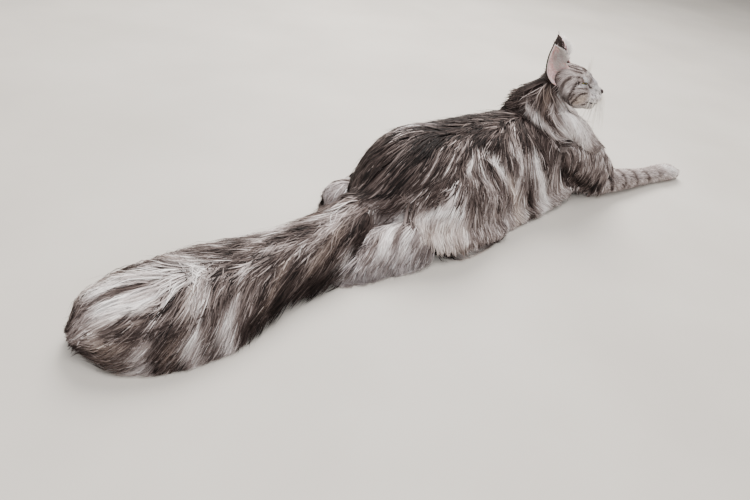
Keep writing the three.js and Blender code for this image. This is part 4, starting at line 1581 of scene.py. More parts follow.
def pelts(forms: dict[str, Sweep], head: Head) -> list[Pelt]:
    """List the coats of all the surfaces.

    Args:
        forms: The swept forms.
        head: The head.

    Returns:
        The pelts.
    """
    coats = [
        Pelt(
            "trunk", forms["trunk"], 21000, (-20, 200), 60, 1.9, trunk_lie, trunk_tone,
            reach=lambda s, d: 1 + 0.25 * smooth(0.2, 0.05, s), limits=(-6, 186), grain=(24, 0.14),
            contrast=0.26, wave=2.4, sway=0.09, fringe=0.05,
        ),
        Pelt(
            "tail", forms["tail"], 20000, (-20, 200), 80, 1.7, tail_lie, tail_tone, (0.0, 0.99),
            reach=lambda s, d: 1 - 0.5 * smooth(0.86, 0.98, s), limits=(-4, 184), grain=(26, 0.06),
            contrast=0.22, tipped=-0.08, wave=2.0, clump=10, sway=0.05, fringe=-0.18, ends=(-0.15, 0.975),
        ),
        Pelt(
            "neck", forms["neck"], 9500, (0, 360), 46, 1.8, lie_from(270, -1, 4, 46, 75), neck_tone,
            (0.12, 0.98), grain=(12, 0.07),
            loft=lambda s, d: 11 * smooth(0.4, 0.7, s) * smooth(0.1, 0.8, np.cos(np.radians(d - 265))),
        ),
        Pelt(
            "bib", forms["bib"], 4500, (-20, 200), 46, 1.8, lie_from(90, 1, 4, 22),
            lambda s, d: 0.88 - 0.3 * smooth(0.3, 0.8, s), (0.02, 0.9), grain=(8, 0.05), contrast=0.18,
            wave=2.6,
        ),
        Pelt(
            "chest", forms["chest"], 3200, (-10, 190), 42, 1.8, lie_from(90, 1, 4, 24), even(0.78),
            (0.02, 0.97), grain=(8, 0.05), wave=2.6,
        ),
        Pelt(
            "head", head, 19000, (0, 360), 6, 0.85, head_lie, head_tone, (0.06, 0.97),
            reach=lambda s, d: 0.55 + 0.5 * smooth(0.2, 0.4, s) + 2.9 * smooth(0.5, 0.72, s), loft=head_loft,
            grain=(20, 0.06), contrast=0.1, warm=0.05, tipped=0.0, clump=7, gather=0.35, wave=0.4,
            rise=(0.3, 1.0), steps=SHORT_STEPS,
        ),
    ]
    for side in Side:
        tag = side.name.lower()
        right = side is Side.RIGHT
        more = 1.0 if right else 0.75
        coats += [
            Pelt(
                f"thigh_{tag}", forms[f"thigh_{tag}"], int(5400 * more), (-40, 220), 46, 1.9,
                lie_from(90, -1, 30, 84), lambda s, d: 0.32 + 0.2 * smooth(50, 100, np.abs(d - 90)),
                loft=lambda s, d: 6 * smooth(0.6, 0.3, s) * smooth(60, 100, np.abs(d - 90)),
                limits=(-10, 190), grain=(8, 0.08), contrast=0.24, fringe=-0.05,
            ),
            Pelt(
                f"breech_{tag}", forms[f"breech_{tag}"], int(3600 * more), (-30, 210), 48, 1.8,
                lie_from(90, 1, 10, 42), even(0.6), (0.0, 0.95), loft=even(6.0), limits=(-8, 188),
                grain=(7, 0.05), contrast=0.22, warm=-0.2, sway=0.14, wave=3.0, ends=(-0.15, 1.0),
            ),
            Pelt(
                f"foot_{tag}", forms[f"foot_{tag}"], int(3400 * more), (-60, 240), 20, 1.4,
                lie_from(90, 1, 8, 34),
                (lambda s, d: 0.8 - 0.5 * smooth(0.5, 0.8, s)) if right else even(0.72),
                reach=lambda s, d: 1.5 - 1.0 * smooth(0.45, 0.8, s),
                loft=lambda s, d: 5 * smooth(0.7, 0.3, s),
                limits=(-30, 210), grain=(8, 0.05), contrast=0.24, warm=0.2, wave=1.5, sway=0.2,
                steps=SHORT_STEPS,
            ),
            Pelt(
                f"arm_{tag}", forms[f"arm_{tag}"], int(3600 * more), (-60, 240), 24, 1.6,
                lie_from(90, 1, 25, 60), lambda s, d: 0.46 + 0.12 * sine(d), (0.05, 1.0), limits=(-60, 240),
                grain=(14, 0.12), contrast=0.26, wave=1.0,
            ),
            Pelt(
                f"forearm_{tag}", forms[f"forearm_{tag}"], int(4800 * more), (-70, 250), 10, 1.1,
                lie_from(90, 1, 4, 20), even(0.64), grain=(20, 0.02), contrast=0.14, gather=0.4, wave=0.5,
                clump=7, steps=SHORT_STEPS,
            ),
        ]
    return coats


class Skin:
    """The one skin under the coat: body fused from its forms, and the head's finer shell."""

    VOXEL, EASE = 3.6, 5
    HEAD_SINK = 1.6
    SOCKET = (2.6, 0.6)
    SOCKET_DEPTH = 3.2
    TOE = (9, 5.2, 8)
    TOES = [(474, -122, 9), (482, -128, 9), (483, -136, 9), (476, -143, 9)]
    HIND_TOES = [(-26, -92, 8), (-19, -98, 8), (-18, -105, 8), (-25, -111, 8)]

    def __init__(self, forms: dict[str, Sweep], head: Head) -> None:
        """Keep the forms that the skin covers.

        Args:
            forms: The swept forms.
            head: The head.
        """
        self.forms, self.head = forms, head

    def build(self) -> bpy.types.Object:
        """Fuse the body's shells and add the head's.

        Returns:
            The skin.
        """
        verts, faces, count = [], [], 0
        shells = [sweep_shell(form, form.skin_lift) for form in self.forms.values()]
        for x, y, z in self.TOES + self.HIND_TOES:
            shells += [ball_shell((x, y * s, z), self.TOE) for s in (1, -1)]
        for points, quads in shells:
            verts.append(points)
            faces += [tuple(v + count for v in face) for face in quads]
            count += len(points)
        body = plain_object("skin", np.vstack(verts), faces)
        remeshed(body, self.VOXEL, self.EASE)
        self._flatten(body)
        joined(body, [self._head_shell()])
        return body

    def _flatten(self, body: bpy.types.Object) -> None:
        """Lay what would sink under the floor flat on it."""
        co = points_of(body)
        co[:, 2] = np.maximum(co[:, 2], 0.4 * MM)
        body.data.vertices.foreach_set("co", co.ravel())
        body.data.update()

    def _head_shell(self) -> bpy.types.Object:
        """March the head's skin, with sockets for the eyes."""
        polar, angle, faces = ball_grid(120, 200, 0.01)
        way = Head.direction(polar, angle)
        radius = self.head.march(way) - self.HEAD_SINK
        points = way * radius[..., None]
        size = EyeSize()
        for s in (1, -1):
            at = np.array([size.at[0], size.at[1] * s, size.at[2]])
            gap = np.linalg.norm(points - at, axis=-1)
            sunk = smooth(size.radius + self.SOCKET[0], size.radius + self.SOCKET[1], gap)[..., None]
            points = points - way * self.SOCKET_DEPTH * sunk
        return plain_object("skin_head", self.head.world(points.reshape(-1, 3)), faces)


def joined(target: bpy.types.Object, others: Sequence[bpy.types.Object]) -> None:
    """Join plain objects' meshes into one, keeping only points and faces."""
    verts, faces, count = [], [], 0
    for obj in (target, *others):
        verts.append(points_of(obj))
        faces += [tuple(v + count for v in p.vertices) for p in obj.data.polygons]
        count += len(obj.data.vertices)
    mesh = bpy.data.meshes.new(target.name)
    mesh.from_pydata(np.vstack(verts).tolist(), [], faces)
    mesh.update()
    mesh.polygons.foreach_set("use_smooth", np.ones(len(mesh.polygons), bool))
    old = target.data
    target.data = mesh
    bpy.data.meshes.remove(old)
    for obj in others:
        data = obj.data
        bpy.data.objects.remove(obj)
        bpy.data.meshes.remove(data)


def paint_from_roots(obj: bpy.types.Object, roots: Array, colours: Array) -> None:
    """Colour a skin's points by the nearest tuft's root, darkened to 0.55 of it as painted shade under the
    coat.

    Args:
        obj: The skin.
        roots: Places of the roots, in millimetres.
        colours: Their colours.
    """
    thin = slice(None, None, 3)
    roots, colours = roots[thin], colours[thin]
    tree = KDTree(len(roots))
    for k, p in enumerate(roots):
        tree.insert(p * MM, k)
    tree.balance()
    found = [tree.find(v.co)[1] for v in obj.data.vertices]
    # Painted shade: the skin under the coat is darkened to 0.55 of its root's colour.
    rgba = np.concatenate([colours[found] * 0.55, np.ones((len(found), 1))], axis=1)
    layer = obj.data.color_attributes.new(COLOUR_NAME, "FLOAT_COLOR", "POINT")
    layer.data.foreach_set("color", rgba.astype(np.float32).ravel())


class Eyes:
    """The eyeballs with their irises, and the lids round them."""

    SLIT = 3.4
    LID_BACK = 1.35
    RIM = 0.75

    def __init__(self, head: Head, size: EyeSize = EyeSize()) -> None:
        """Keep the head that carries the eyes.

        Args:
            head: The head.
            size: Sizes of one eye.
        """
        self.head, self.size = head, size

    def axes(self, side: Side) -> tuple[Array, Array]:
        """Give an eye's middle and its outward, upward and gaze axes in the head's frame."""
        s = side.value
        flip = np.array([1, s, 1])
        gaze = unit(np.array(self.size.gaze) * flip)
        out = unit(np.cross([0, 0, 1], gaze)) * s
        above = unit(np.cross(gaze, out)) * s
        tilt = math.radians(self.size.tilt)
        cosine, sine_ = math.cos(tilt), math.sin(tilt)
        out, above = out * cosine + above * sine_, above * cosine - out * sine_
        return np.array(self.size.at) * flip, np.stack([out, above, gaze])

    def covers(self, side: Side, points: Array) -> Array:
        """Say which points lie over the bare part of an eye and its lids."""
        at, axes = self.axes(side)
        out, above, ahead = (axes @ (self.head.local(points) - at).T) / self.size.radius
        return (ahead > 0) & ((out / 0.95) ** 2 + (above / 0.5) ** 2 < 1)

    def ball(self, side: Side) -> bpy.types.Object:
        """Make one eyeball with attributes for its iris."""
        at, axes = self.axes(side)
        polar, angle, faces = ball_grid(60, 72, 0.01)
        way = toward(polar, angle).reshape(-1, 3)
        points = way * self.size.radius @ axes + at
        faces = faces if side is Side.LEFT else turned(faces)
        obj = plain_object(f"eyeball_{side.name.lower()}", self.head.world(points), faces)
        place = obj.data.attributes.new("Iris", "FLOAT_VECTOR", "POINT")
        place.data.foreach_set("vector", way.astype(np.float32).ravel())
        obj.data.materials.append(self.iris())
        return obj

    @staticmethod
    def iris() -> bpy.types.Material:
        """Make the finish of an eye: slit pupil, streaked green-gold iris, dark rim."""
        if "Eye" in bpy.data.materials:
            return bpy.data.materials["Eye"]
        made = Shader("Eye")
        place = made.node("ShaderNodeAttribute", attribute_name="Iris")
        parts = made.node("ShaderNodeSeparateXYZ")
        made.link(place.outputs["Vector"], parts.inputs["Vector"])
        narrowed = made.node("ShaderNodeCombineXYZ")
        wide = made.node("ShaderNodeMath", operation="MULTIPLY")
        wide.inputs[1].default_value = Eyes.SLIT
        made.link(parts.outputs["X"], wide.inputs[0])
        made.link(wide.outputs["Value"], narrowed.inputs["X"])
        made.link(parts.outputs["Y"], narrowed.inputs["Y"])
        slit = made.node("ShaderNodeVectorMath", operation="LENGTH")
        made.link(narrowed.outputs["Vector"], slit.inputs[0])
        around = made.node("ShaderNodeVectorMath", operation="NORMALIZE")
        made.link(place.outputs["Vector"], around.inputs[0])
        streaks = made.noise(9.0, 5.0, around.outputs["Vector"])
        ramp = made.node("ShaderNodeValToRGB")
        ramp.color_ramp.elements[0].color = (*linear((96, 98, 40)), 1)
        ramp.color_ramp.elements[1].color = (*linear((176, 160, 78)), 1)
        made.link(streaks.outputs["Fac"], ramp.inputs["Fac"])
        pupil = made.node("ShaderNodeMapRange", From_Min=0.52, From_Max=0.58, To_Min=0.0, To_Max=1.0)
        made.link(slit.outputs["Value"], pupil.inputs["Value"])
        rim = made.node("ShaderNodeMapRange", From_Min=0.42, From_Max=0.52, To_Min=0.0, To_Max=1.0)
        made.link(parts.outputs["Z"], rim.inputs["Value"])
        keep = made.node("ShaderNodeMath", operation="MULTIPLY")
        made.link(pupil.outputs["Result"], keep.inputs[0])
        made.link(rim.outputs["Result"], keep.inputs[1])
        mix = made.node("ShaderNodeVectorMath", operation="SCALE")
        made.link(ramp.outputs["Color"], mix.inputs[0])
        made.link(keep.outputs["Value"], mix.inputs["Scale"])
        made.link(mix.outputs["Vector"], made.main.inputs["Base Color"])
        made.set(Roughness=0.12, Coat_Weight=1.0, Coat_Roughness=0.03)
        return made.material

    def lids(self, side: Side) -> tuple[bpy.types.Object, bpy.types.Object]:
        """Make one eye's lids and their dark rim.

        Returns:
            The lids and the rim.
        """
        at, axes = self.axes(side)
        size = self.size
        columns = 96
        t = np.arange(columns) / columns * 2 * np.pi
        x = np.cos(t) * size.half_width
        y = np.sin(t) * np.abs(np.sin(t)) ** 0.35
        y = np.where(y > 0, y * size.upper, y * size.lower)
        edge = np.arctan2(np.hypot(x, y), size.radius)
        azimuth = np.arctan2(y, x)
        rings = []
        stops = [(0.0, 0.1), (0.0, size.lid * 0.8), (0.03, size.lid)]
        stops += [(f, size.lid) for f in np.linspace(0.12, 1, 10)]
        for f, out in stops:
            rings.append(toward(edge * (1 - f) + self.LID_BACK * f, azimuth) * (size.radius + out))
        points = np.vstack(rings) @ axes + at
        faces = grid_faces(len(rings), columns)
        if side is Side.LEFT:
            faces = turned(faces)
        lids = plain_object(f"lids_{side.name.lower()}", self.head.world(points), faces)
        path = (rings[1] * 0.5 + rings[0] * 0.5) @ axes + at
        rim = tube(f"lid_rim_{side.name.lower()}", self.head.world(path), np.full(columns, self.RIM), True)
        return lids, rim


def tube(name: str, path: Array, radii: Array, closed: bool, sides: int = 8) -> bpy.types.Object:
    """Sweep a round tube along points.

    Args:
        name: Name of the object.
        path: Points in millimetres.
        radii: Radius at each.
        closed: Whether the path is a ring.
        sides: Sides of the section.

    Returns:
        The tube.
    """
    if closed:
        along = unit(np.roll(path, -1, axis=0) - np.roll(path, 1, axis=0))
    else:
        along = unit(np.gradient(path, axis=0))
    hint = unit(path - path.mean(0)) if closed else np.tile([0.2, 0.1, 1.0], (len(path), 1))
    across = unit(np.cross(along, hint))
    above = np.cross(across, along)
    t = np.arange(sides) / sides * 2 * np.pi
    ring = np.cos(t)[None, :, None] * across[:, None] + np.sin(t)[None, :, None] * above[:, None]
    points = (path[:, None] + ring * np.asarray(radii)[:, None, None]).reshape(-1, 3)
    n = len(path)
    faces = grid_faces(n, sides)
    last = (n - 1) * sides
    if closed:
        faces += [(last + j, last + (j + 1) % sides, (j + 1) % sides, j) for j in range(sides)]
    else:
        faces += [tuple(reversed(range(sides))), tuple(range(last, n * sides))]
    return plain_object(name, points, faces)


class Ears:
    """The cupped ears with pink skin inside, dark fur behind and pale furnishings."""

    def __init__(self, head: Head, size: EarSize = EarSize()) -> None:
        """Lay out the ear's edges.

        Args:
            head: The head that carries the ears.
            size: Sizes of one ear.
        """
        self.head, self.size = head, size
        self.outer = spline(np.array(size.outer, float), 24)
        self.inner = spline(np.array(size.inner, float), 24)
        self.full = float(np.linalg.norm(self.outer[20] - self.inner[20]))

    def points(self, side: Side, u: Array, v: Array, out: Array | float) -> Array:
        """Place points of the ear's leaf.

        Args:
            side: Which ear.
            u: Shares from skull to tip, beyond which it runs on straight.
            v: Shares from the inner edge, -1, to the outer edge, 1.
            out: Distance behind the leaf's middle.

        Returns:
            Points in the part's frame.
        """
        inside = np.clip(u, 0, 1)
        at = inside * (len(self.outer) - 1)
        knots = np.arange(len(self.outer))
        outer = np.stack([np.interp(at, knots, c) for c in self.outer.T], axis=-1)
        inner = np.stack([np.interp(at, knots, c) for c in self.inner.T], axis=-1)
        middle, across = (outer + inner) / 2, (outer - inner) / 2
        tip = self.outer[-1]
        axis = unit(tip - self.outer[40] * 0.5 - self.inner[40] * 0.5)
        back = unit(np.cross(across + np.array([-1e-3, 1e-3, 0]), axis))
        back = np.where(back[..., :1] > 0, -back, back)
        share = np.minimum(1, np.linalg.norm(across, axis=-1) * 2 / self.full)
        bend = self.size.cup * (1 - v * v) * share + out
        local = middle + across * v[..., None] + back * bend[..., None]
        local = local + axis * ((u - inside) * 70)[..., None]
        return self.head.world(local * np.array([1, side.value, 1]))

    def leaf(self, side: Side) -> bpy.types.Object:
        """Make one ear's cup, closed round its edge."""
        rows, columns = 40, 26
        u = np.linspace(0, 0.985, rows)
        v = np.linspace(-1, 1, columns)
        grid_u, grid_v = np.meshgrid(u, v, indexing="ij")
        half = self.size.thick / 2 * (1 - 0.35 * np.clip(grid_u, 0, 1)) * (1 - 0.55 * grid_v**6)
        back = self.points(side, grid_u, grid_v, half)
        front = self.points(side, grid_u, grid_v[:, ::-1], -half[:, ::-1])
        ring = np.concatenate([back, front], axis=1)
        faces = grid_faces(rows, columns * 2)
        faces.append(tuple(range((rows - 1) * columns * 2, rows * columns * 2)))
        faces = faces if side is Side.LEFT else turned(faces)
        return plain_object(f"ear_leaf_{side.name.lower()}", ring.reshape(-1, 3), faces)

    def hair(self, side: Side) -> Hair:
        """Grow an ear's fur: dark behind, pale along the rims, long and white inside."""
        rng = np.random.default_rng(SEED + 40 + side.value)
        steps = np.array(LONG_STEPS)[None]
        parts = []

        def add(
            u: Array, v: Array, run: Array, turn: Array, lift: tuple[float, float], width: float,
            root: float, tip: float,
        ) -> None:
            """Add tufts from u and v that run up and across the leaf and lift behind it."""
            count = len(u)
            to_u = u[:, None] + run[:, None] * steps
            to_v = np.clip(v[:, None] + turn[:, None] * steps, -1.4, 1.4)
            out = (lift[0] + lift[1] * steps) * rng.uniform(0.5, 1.2, (count, 1))
            spines = self.points(side, to_u, to_v, out)
            outs = unit(self.points(side, to_u, to_v, out + 2) - spines) * np.sign(lift[1])
            tone = root + (tip - root) * steps + rng.normal(0, 0.05, (count, 1))
            places = np.stack([np.clip(u, 0, 1), v / 2 + 0.5], axis=1)
            colours = coat_colour(tone, np.zeros_like(tone))
            parts.append(Hair(spines, width * rng.uniform(0.7, 1.3, count), outs, colours, places))

        n = 2000
        v = rng.uniform(-1, 1, n)
        add(
            rng.uniform(0.05, 0.93, n), v, np.full(n, 0.09), rng.normal(0, 0.06, n),
            (1.0, 2.4), 1.1, 0.2, 0.1,
        )
        n = 500
        edge = rng.choice([-0.96, 0.96], n)
        add(rng.uniform(0.15, 0.93, n), edge, np.full(n, 0.1), edge * 0.03, (-0.8, -0.6), 0.8, 0.9, 0.92)
        n = 900
        v = rng.uniform(-1, 1, n)
        add(
            rng.uniform(0.0, 0.35, n), v, np.full(n, 0.06), rng.normal(0, 0.1, n),
            (1.0, 12.0), 1.2, 0.22, 0.12,
        )
        n = 230
        v = rng.uniform(-1.0, -0.3, n)
        add(
            rng.uniform(0.1, 0.6, n), v, rng.uniform(0.14, 0.3, n), rng.uniform(0.1, 0.6, n),
            (-1.0, -8.0), 0.5, 0.8, 0.98,
        )
        n = 420
        add(
            rng.uniform(0.25, 0.85, n), rng.uniform(-1.0, -0.85, n), rng.uniform(0.1, 0.22, n),
            rng.uniform(-0.25, 0.0, n), (-1.0, -8.0), 0.6, 0.9, 0.98,
        )
        n = 90
        add(
            rng.uniform(0.84, 0.97, n), rng.uniform(-0.6, 0.6, n), rng.uniform(0.08, 0.16, n),
            rng.normal(0, 0.08, n), (0.4, 0.8), 0.8, 0.1, 0.04,
        )
        return merged(parts)


def merged(parts: Sequence[Hair]) -> Hair:
    """Put several sets of tufts together."""
    names = ("spines", "widths", "outs", "colours", "places")
    return Hair(*(np.concatenate([getattr(p, n) for p in parts]) for n in names), parts[0].steps)


def head_line(head: Head, path: Sequence[Sequence[float]], lift: float, count: int = 30) -> Array:
    """Lay a line of the head's frame on its skin.

    Args:
        head: The head.
        path: Points near the skin.
        lift: Distance out from it.
        count: Points of the result.

    Returns:
        Points in the part's frame.
    """
    rows = spline(np.array(path, float), 20)
    rows = rows[np.linspace(0, len(rows) - 1, count).astype(int)]
    way = unit(rows)
    return head.world(way * (head.march(way) + lift)[:, None])


class Face:
    """What the fur leaves bare: nose leather, nostrils and the line of the mouth."""

    def __init__(self, head: Head, size: NoseSize = NoseSize()) -> None:
        """Keep the head.

        Args:
            head: The head.
            size: Sizes of the nose leather.
        """
        self.head, self.size = head, size

    def nose(self) -> bpy.types.Object:
        """Make the nose leather with its two nostrils."""
        size = self.size
        points, faces = ball_shell((0, 0, 0), (1, 1, 1), 36)
        x, y, z = points.T
        wide = size.half_width * (0.62 + 0.38 * smooth(-0.9, 0.4, z))
        ahead = size.x + size.half_depth * x - size.lean * z
        shaped = np.stack([ahead, y * wide, size.z + size.half_height * z], axis=1)
        for s in (1, -1):
            across = (shaped[:, 1] - size.nostril_y * s) / size.nostril_half[0]
            gap = np.hypot(across, (shaped[:, 2] - size.nostril_z) / size.nostril_half[1])
            shaped[:, 0] -= size.nostril_depth * smooth(1.3, 0.3, gap) * (x > 0)
        shaped[:, 0] -= size.groove_depth * smooth(0.7, 0.1, np.abs(shaped[:, 1])) * (x > 0)
        return plain_object("nose_leather", self.head.world(shaped), faces)

    def mouth(self) -> bpy.types.Object:
        """Make the dark line of the lips and the groove under the nose."""
        lines = []
        for s in (1, -1):
            flipped = [(x, y * s, z) for x, y, z in MOUTH]
            radii = np.interp(np.linspace(0, 1, 30), [0, 0.2, 0.8, 1], [0.5, 0.8, 0.9, 0.3])
            lines.append(tube("lip", head_line(self.head, flipped, -0.9), radii, False))
        lines.append(tube("groove", head_line(self.head, PHILTRUM, -0.8), np.full(30, 0.55), False))
        first = lines[0]
        joined(first, lines[1:])
        first.name = "lips"
        return first


class Whiskers:
    """Whiskers as tapered curves, made by one node group."""

    THICKNESS = 0.00032  # metres
    SIDES = 5

    def __init__(self, head: Head) -> None:
        """Keep the head.

        Args:
            head: The head.
        """
        self.head = head

    def _hair(self, near: Array, out: Array, length: float, bend: Sequence[float], count: int) -> Array:
        """Lay one hair from the skin next to a point, bent on its way by a share of its length."""
        way = unit(near)
        root = way * float(self.head.march(way[None])[0])
        t = np.linspace(0, 1, count)[:, None]
        return self.head.world(root + out * length * t + np.array(bend) * length * t**2)

    def paths(self) -> list[Array]:
        """Lay out the whiskers and brow hairs.

        Returns:
            Paths in the part's frame.
        """
        rng = np.random.default_rng(SEED + 60)
        found = []
        for s in (1, -1):
            for row in range(4):
                for k in range(5 - (row == 3)):
                    near = np.array([38 - 3.2 * k, (8 + 2.6 * k) * s, -17 - 2.6 * row])
                    length = rng.uniform(34, 62)
                    out = unit(np.array([0.35 - 0.16 * k, s * 1.0, -0.75 - 0.12 * row + rng.normal(0, 0.08)]))
                    found.append(self._hair(near, out, length, (-0.1, 0, -0.34), 14))
            for k in range(4):
                near = np.array([16 - k, (11 + 2 * k) * s, 17])
                out = unit(np.array([0.4, 0.35 * s, 0.85 + 0.05 * k]))
                found.append(self._hair(near, out, rng.uniform(16, 26), (-0.3, 0.1 * s, 0.1), 12))
        return found

    def group(self, material: bpy.types.Material) -> bpy.types.GeometryNodeTree:
        """Build the node group that turns edges into tapered hairs."""
        tree = bpy.data.node_groups.new("Whiskers", "GeometryNodeTree")
        face = tree.interface
        face.new_socket("Geometry", in_out="INPUT", socket_type="NodeSocketGeometry")
        thick = face.new_socket("Thickness", in_out="INPUT", socket_type="NodeSocketFloat")
        sides = face.new_socket("Sides", in_out="INPUT", socket_type="NodeSocketInt")
        face.new_socket("Geometry", in_out="OUTPUT", socket_type="NodeSocketGeometry")
        self.sockets = {"Thickness": thick.identifier, "Sides": sides.identifier}
        add = tree.nodes.new
        start, end = add("NodeGroupInput"), add("NodeGroupOutput")
        curve, profile = add("GeometryNodeMeshToCurve"), add("GeometryNodeCurvePrimitiveCircle")
        sweep, taper = add("GeometryNodeCurveToMesh"), add("GeometryNodeSplineParameter")
        curve_map, product = add("ShaderNodeMapRange"), add("ShaderNodeMath")
        realize, paint = add("GeometryNodeRealizeInstances"), add("GeometryNodeSetMaterial")
        product.operation = "MULTIPLY"
        curve_map.inputs["To Min"].default_value = 1.0
        curve_map.inputs["To Max"].default_value = 0.12
        sweep.inputs["Fill Caps"].default_value = True
        profile.inputs["Radius"].default_value = 1.0
        paint.inputs["Material"].default_value = material
        link = tree.links.new
        link(start.outputs["Geometry"], curve.inputs["Mesh"])
        link(taper.outputs["Factor"], curve_map.inputs["Value"])
        link(curve_map.outputs["Result"], product.inputs[0])
        link(start.outputs["Thickness"], product.inputs[1])
        link(product.outputs["Value"], sweep.inputs["Scale"])
        link(start.outputs["Sides"], profile.inputs["Resolution"])
        link(curve.outputs["Curve"], sweep.inputs["Curve"])
        link(profile.outputs["Curve"], sweep.inputs["Profile Curve"])
        link(sweep.outputs["Mesh"], realize.inputs["Geometry"])
        link(realize.outputs["Geometry"], paint.inputs["Geometry"])
        link(paint.outputs["Geometry"], end.inputs["Geometry"])
        return tree

    def build(self) -> bpy.types.Object:
        """Make the whiskers as one plain mesh."""
        paths = self.paths()
        verts = np.vstack(paths) * MM
        edges, count = [], 0
        for path in paths:
            edges += [(count + i, count + i + 1) for i in range(len(path) - 1)]
            count += len(path)
        mesh = bpy.data.meshes.new("whiskers")
        mesh.from_pydata(verts.tolist(), edges, [])
        obj = placed("whiskers", mesh)
        modifier = obj.modifiers.new("Whiskers", "NODES")
        modifier.node_group = self.group(WHISKER.material())
        modifier[self.sockets["Thickness"]] = self.THICKNESS
        modifier[self.sockets["Sides"]] = self.SIDES
        applied(obj)
        return obj


class Studio:
    """The camera at the photograph's viewing angle, soft lights and a pale floor."""

    LOCATION = (-0.7109, -0.5542, 0.486)
    RIGHT = (0.77776, -0.61652, 0.12247)
    UP = (0.27759, 0.51172, 0.81306)
    FORWARD = (0.56393, 0.59838, -0.56914)
    LENS = 27.98
    AIM = (0.0, -0.03, 0.08)
    FLOOR_HALF, FLOOR_DROP = 4.0, 0.0002

    def camera(self) -> None:
        """Set the camera."""
        data = bpy.data.cameras.new("Camera")
        data.lens = self.LENS
        data.sensor_width = 36.0
        data.sensor_fit = "HORIZONTAL"
        data.clip_start = 0.02
        obj = placed("Camera", data)
        turn = Matrix((self.RIGHT, self.UP, [-c for c in self.FORWARD])).transposed().to_4x4()
        obj.matrix_world = Matrix.Translation(self.LOCATION) @ turn
        bpy.context.scene.camera = obj

    def light(
        self, name: str, at: Sequence[float], size: float, watts: float, colour: Sequence[float]
    ) -> None:
        """Add one soft area light aimed at the cat."""
        data = bpy.data.lights.new(name, "AREA")
        data.shape = "DISK"
        data.size = size
        data.energy = watts
        data.color = colour
        obj = placed(name, data)
        away = Vector(at) - Vector(self.AIM)
        obj.rotation_euler = away.to_track_quat("Z", "Y").to_euler()
        obj.location = at

    def build(self) -> None:
        """Set the camera, lights, world and floor."""
        self.camera()
        self.light("Key", (0.9, 1.3, 1.9), 1.4, 120, (1.0, 0.97, 0.93))
        self.light("Fill", (-1.2, -1.6, 1.5), 1.8, 32, (0.98, 0.98, 1.0))
        self.light("Top", (-0.2, -0.2, 2.4), 1.6, 44, (1.0, 0.99, 0.97))
        world = bpy.data.worlds.new("World")
        world.use_nodes = True
        sky = world.node_tree.nodes["Background"]
        sky.inputs["Color"].default_value = (0.95, 0.93, 0.91, 1)
        sky.inputs["Strength"].default_value = 0.45
        bpy.context.scene.world = world
        corners = np.array([[-1, -1, 0], [1, -1, 0], [1, 1, 0], [-1, 1, 0]]) * self.FLOOR_HALF
        floor = plain_object("floor", corners / MM, [(0, 1, 2, 3)])
        floor.location.z = -self.FLOOR_DROP
        finish = Finish("Floor", (196, 190, 182), (206, 200, 192), 3.0, 0.6, 0.02)
        floor.data.materials.append(finish.material())


def settle(piece: bpy.types.Object, material: bpy.types.Material | None = None) -> None:
    """Make a piece ride on the body and take a slot and a finish."""
    if material is not None:
        piece.data.materials.clear()
        piece.data.materials.append(material)
    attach(piece, "root")


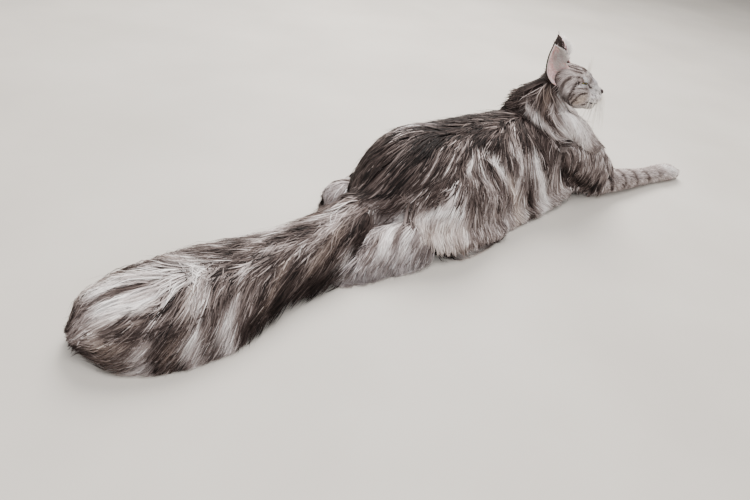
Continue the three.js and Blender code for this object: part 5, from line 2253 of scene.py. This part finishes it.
class Cat:
    """The whole animal, put together from its sub-assemblies."""

    MOST_TRIANGLES = 190_000
    MOST_DEPTH = 1.5
    MOST_STEP, STEP_SHARE = 14.0, 0.62
    MOST_STRETCH, LEAST_STEP = 2.2, 4
    FLESH = (
        "head", "neck", "torso", "hindleg_right", "hindleg_left", "foreleg_right", "foreleg_left",
        "tail_root", "tail_middle", "tail_plume",
    )

    def __init__(self) -> None:
        """Lay out the forms and the head."""
        self.forms = body_forms()
        self.head = Head()
        self.eyes = Eyes(self.head)
        self.triangles = 0

    def hidden(self, pelt: Pelt, hair: Hair) -> Array:
        """Say which tufts root too deep inside another form."""
        roots = hair.spines[:, 0]
        inside = np.zeros(len(roots), bool)
        for form in (*self.forms.values(), self.head):
            if form is not pelt.surface:
                inside |= form.depth(roots) > self.MOST_DEPTH
        if pelt.surface is self.head:
            for side in Side:
                inside |= self.eyes.covers(side, roots)
        return inside

    def cleared(self, pelt: Pelt, hair: Hair) -> Hair:
        """Lift hair out over the forms that it would pass into, and drop what that stretches too far."""
        high = np.tile(np.array(hair.steps[1:]), (len(hair), 1)).ravel() * OVERLAY
        points = hair.spines[:, 1:].reshape(-1, 3)
        for form in self.forms.values():
            if form is not pelt.surface:
                points = form.lifted(points, high)
        before = np.linalg.norm(np.diff(hair.spines, axis=1), axis=2).max(axis=1)
        hair.spines[:, 1:] = points.reshape(len(hair), -1, 3)
        hair.spines[..., 2] = np.maximum(hair.spines[..., 2], FLOOR_CLEARANCE)
        after = np.linalg.norm(np.diff(hair.spines, axis=1), axis=2).max(axis=1)
        most = max(self.MOST_STEP, self.STEP_SHARE * pelt.length)
        return hair.part((after < most) & (after < self.MOST_STRETCH * np.maximum(before, self.LEAST_STEP)))

    def coat(self) -> tuple[Array, Array]:
        """Grow the whole coat.

        Returns:
            Places and colours of the roots, for painting the skin.
        """
        fur = hair_material("Fur", (900.0, 2.0), (0.86, 1.14), (0.7, 0.14), (0.15, 0.0004))
        places, colours = [], []
        markings = Markings({**self.forms, "head": self.head})
        for seed, pelt in enumerate(pelts(self.forms, self.head)):
            hair = grow(pelt, markings, seed)
            hair = self.cleared(pelt, hair.part(~self.hidden(pelt, hair)))
            places.append(hair.spines[:, 0])
            colours.append(hair.colours[:, 1])
            each = 6 * (len(hair.steps) - 1) - 2
            pieces = max(1, math.ceil(len(hair) * each / self.MOST_TRIANGLES))
            order = np.argsort(hair.places[:, 0], kind="stable")
            for k, chosen in enumerate(np.array_split(order, pieces)):
                name = f"coat_{pelt.name}_{k + 1}" if pieces > 1 else f"coat_{pelt.name}"
                settle(tuft_mesh(name, hair.part(chosen)), fur)
            self.triangles += each * len(hair)
            LOG.info("%s: %d tufts, %d triangles so far", pelt.name, len(hair), self.triangles)
        return np.vstack(places), np.vstack(colours)

    def build(self) -> None:
        """Build every piece."""
        roots, colours = self.coat()
        skin = Skin(self.forms, self.head).build()
        paint_from_roots(skin, roots, colours)
        bare = hair_material("Skin", (260.0, 4.0), (0.7, 1.15), (0.85, 0.2), (0.5, 0.001))
        settle(skin, bare)
        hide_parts(*self.FLESH)
        eyes, ears, face = self.eyes, Ears(self.head), Face(self.head)
        liner = LINER.material()
        for side in Side:
            tag = side.name.lower()
            ball = eyes.ball(side)
            settle(ball)
            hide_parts(f"eye_{tag}")
            lids, rim = eyes.lids(side)
            paint_from_roots(lids, roots, np.minimum(colours * 1.9, 0.8))
            settle(lids, bare)
            settle(rim, liner)
            leaf = ears.leaf(side)
            settle(leaf, EAR_SKIN.material())
            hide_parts(f"ear_{tag}")
            settle(tuft_mesh(f"coat_ear_{tag}", ears.hair(side), False), bpy.data.materials["Fur"])
        settle(face.nose(), NOSE.material())
        settle(face.mouth(), liner)
        settle(Whiskers(self.head).build())


def main() -> None:
    """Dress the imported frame."""
    logging.basicConfig(level=logging.INFO, format="%(message)s")
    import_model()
    Studio().build()
    Cat().build()


if __name__ == "__main__":
    main()
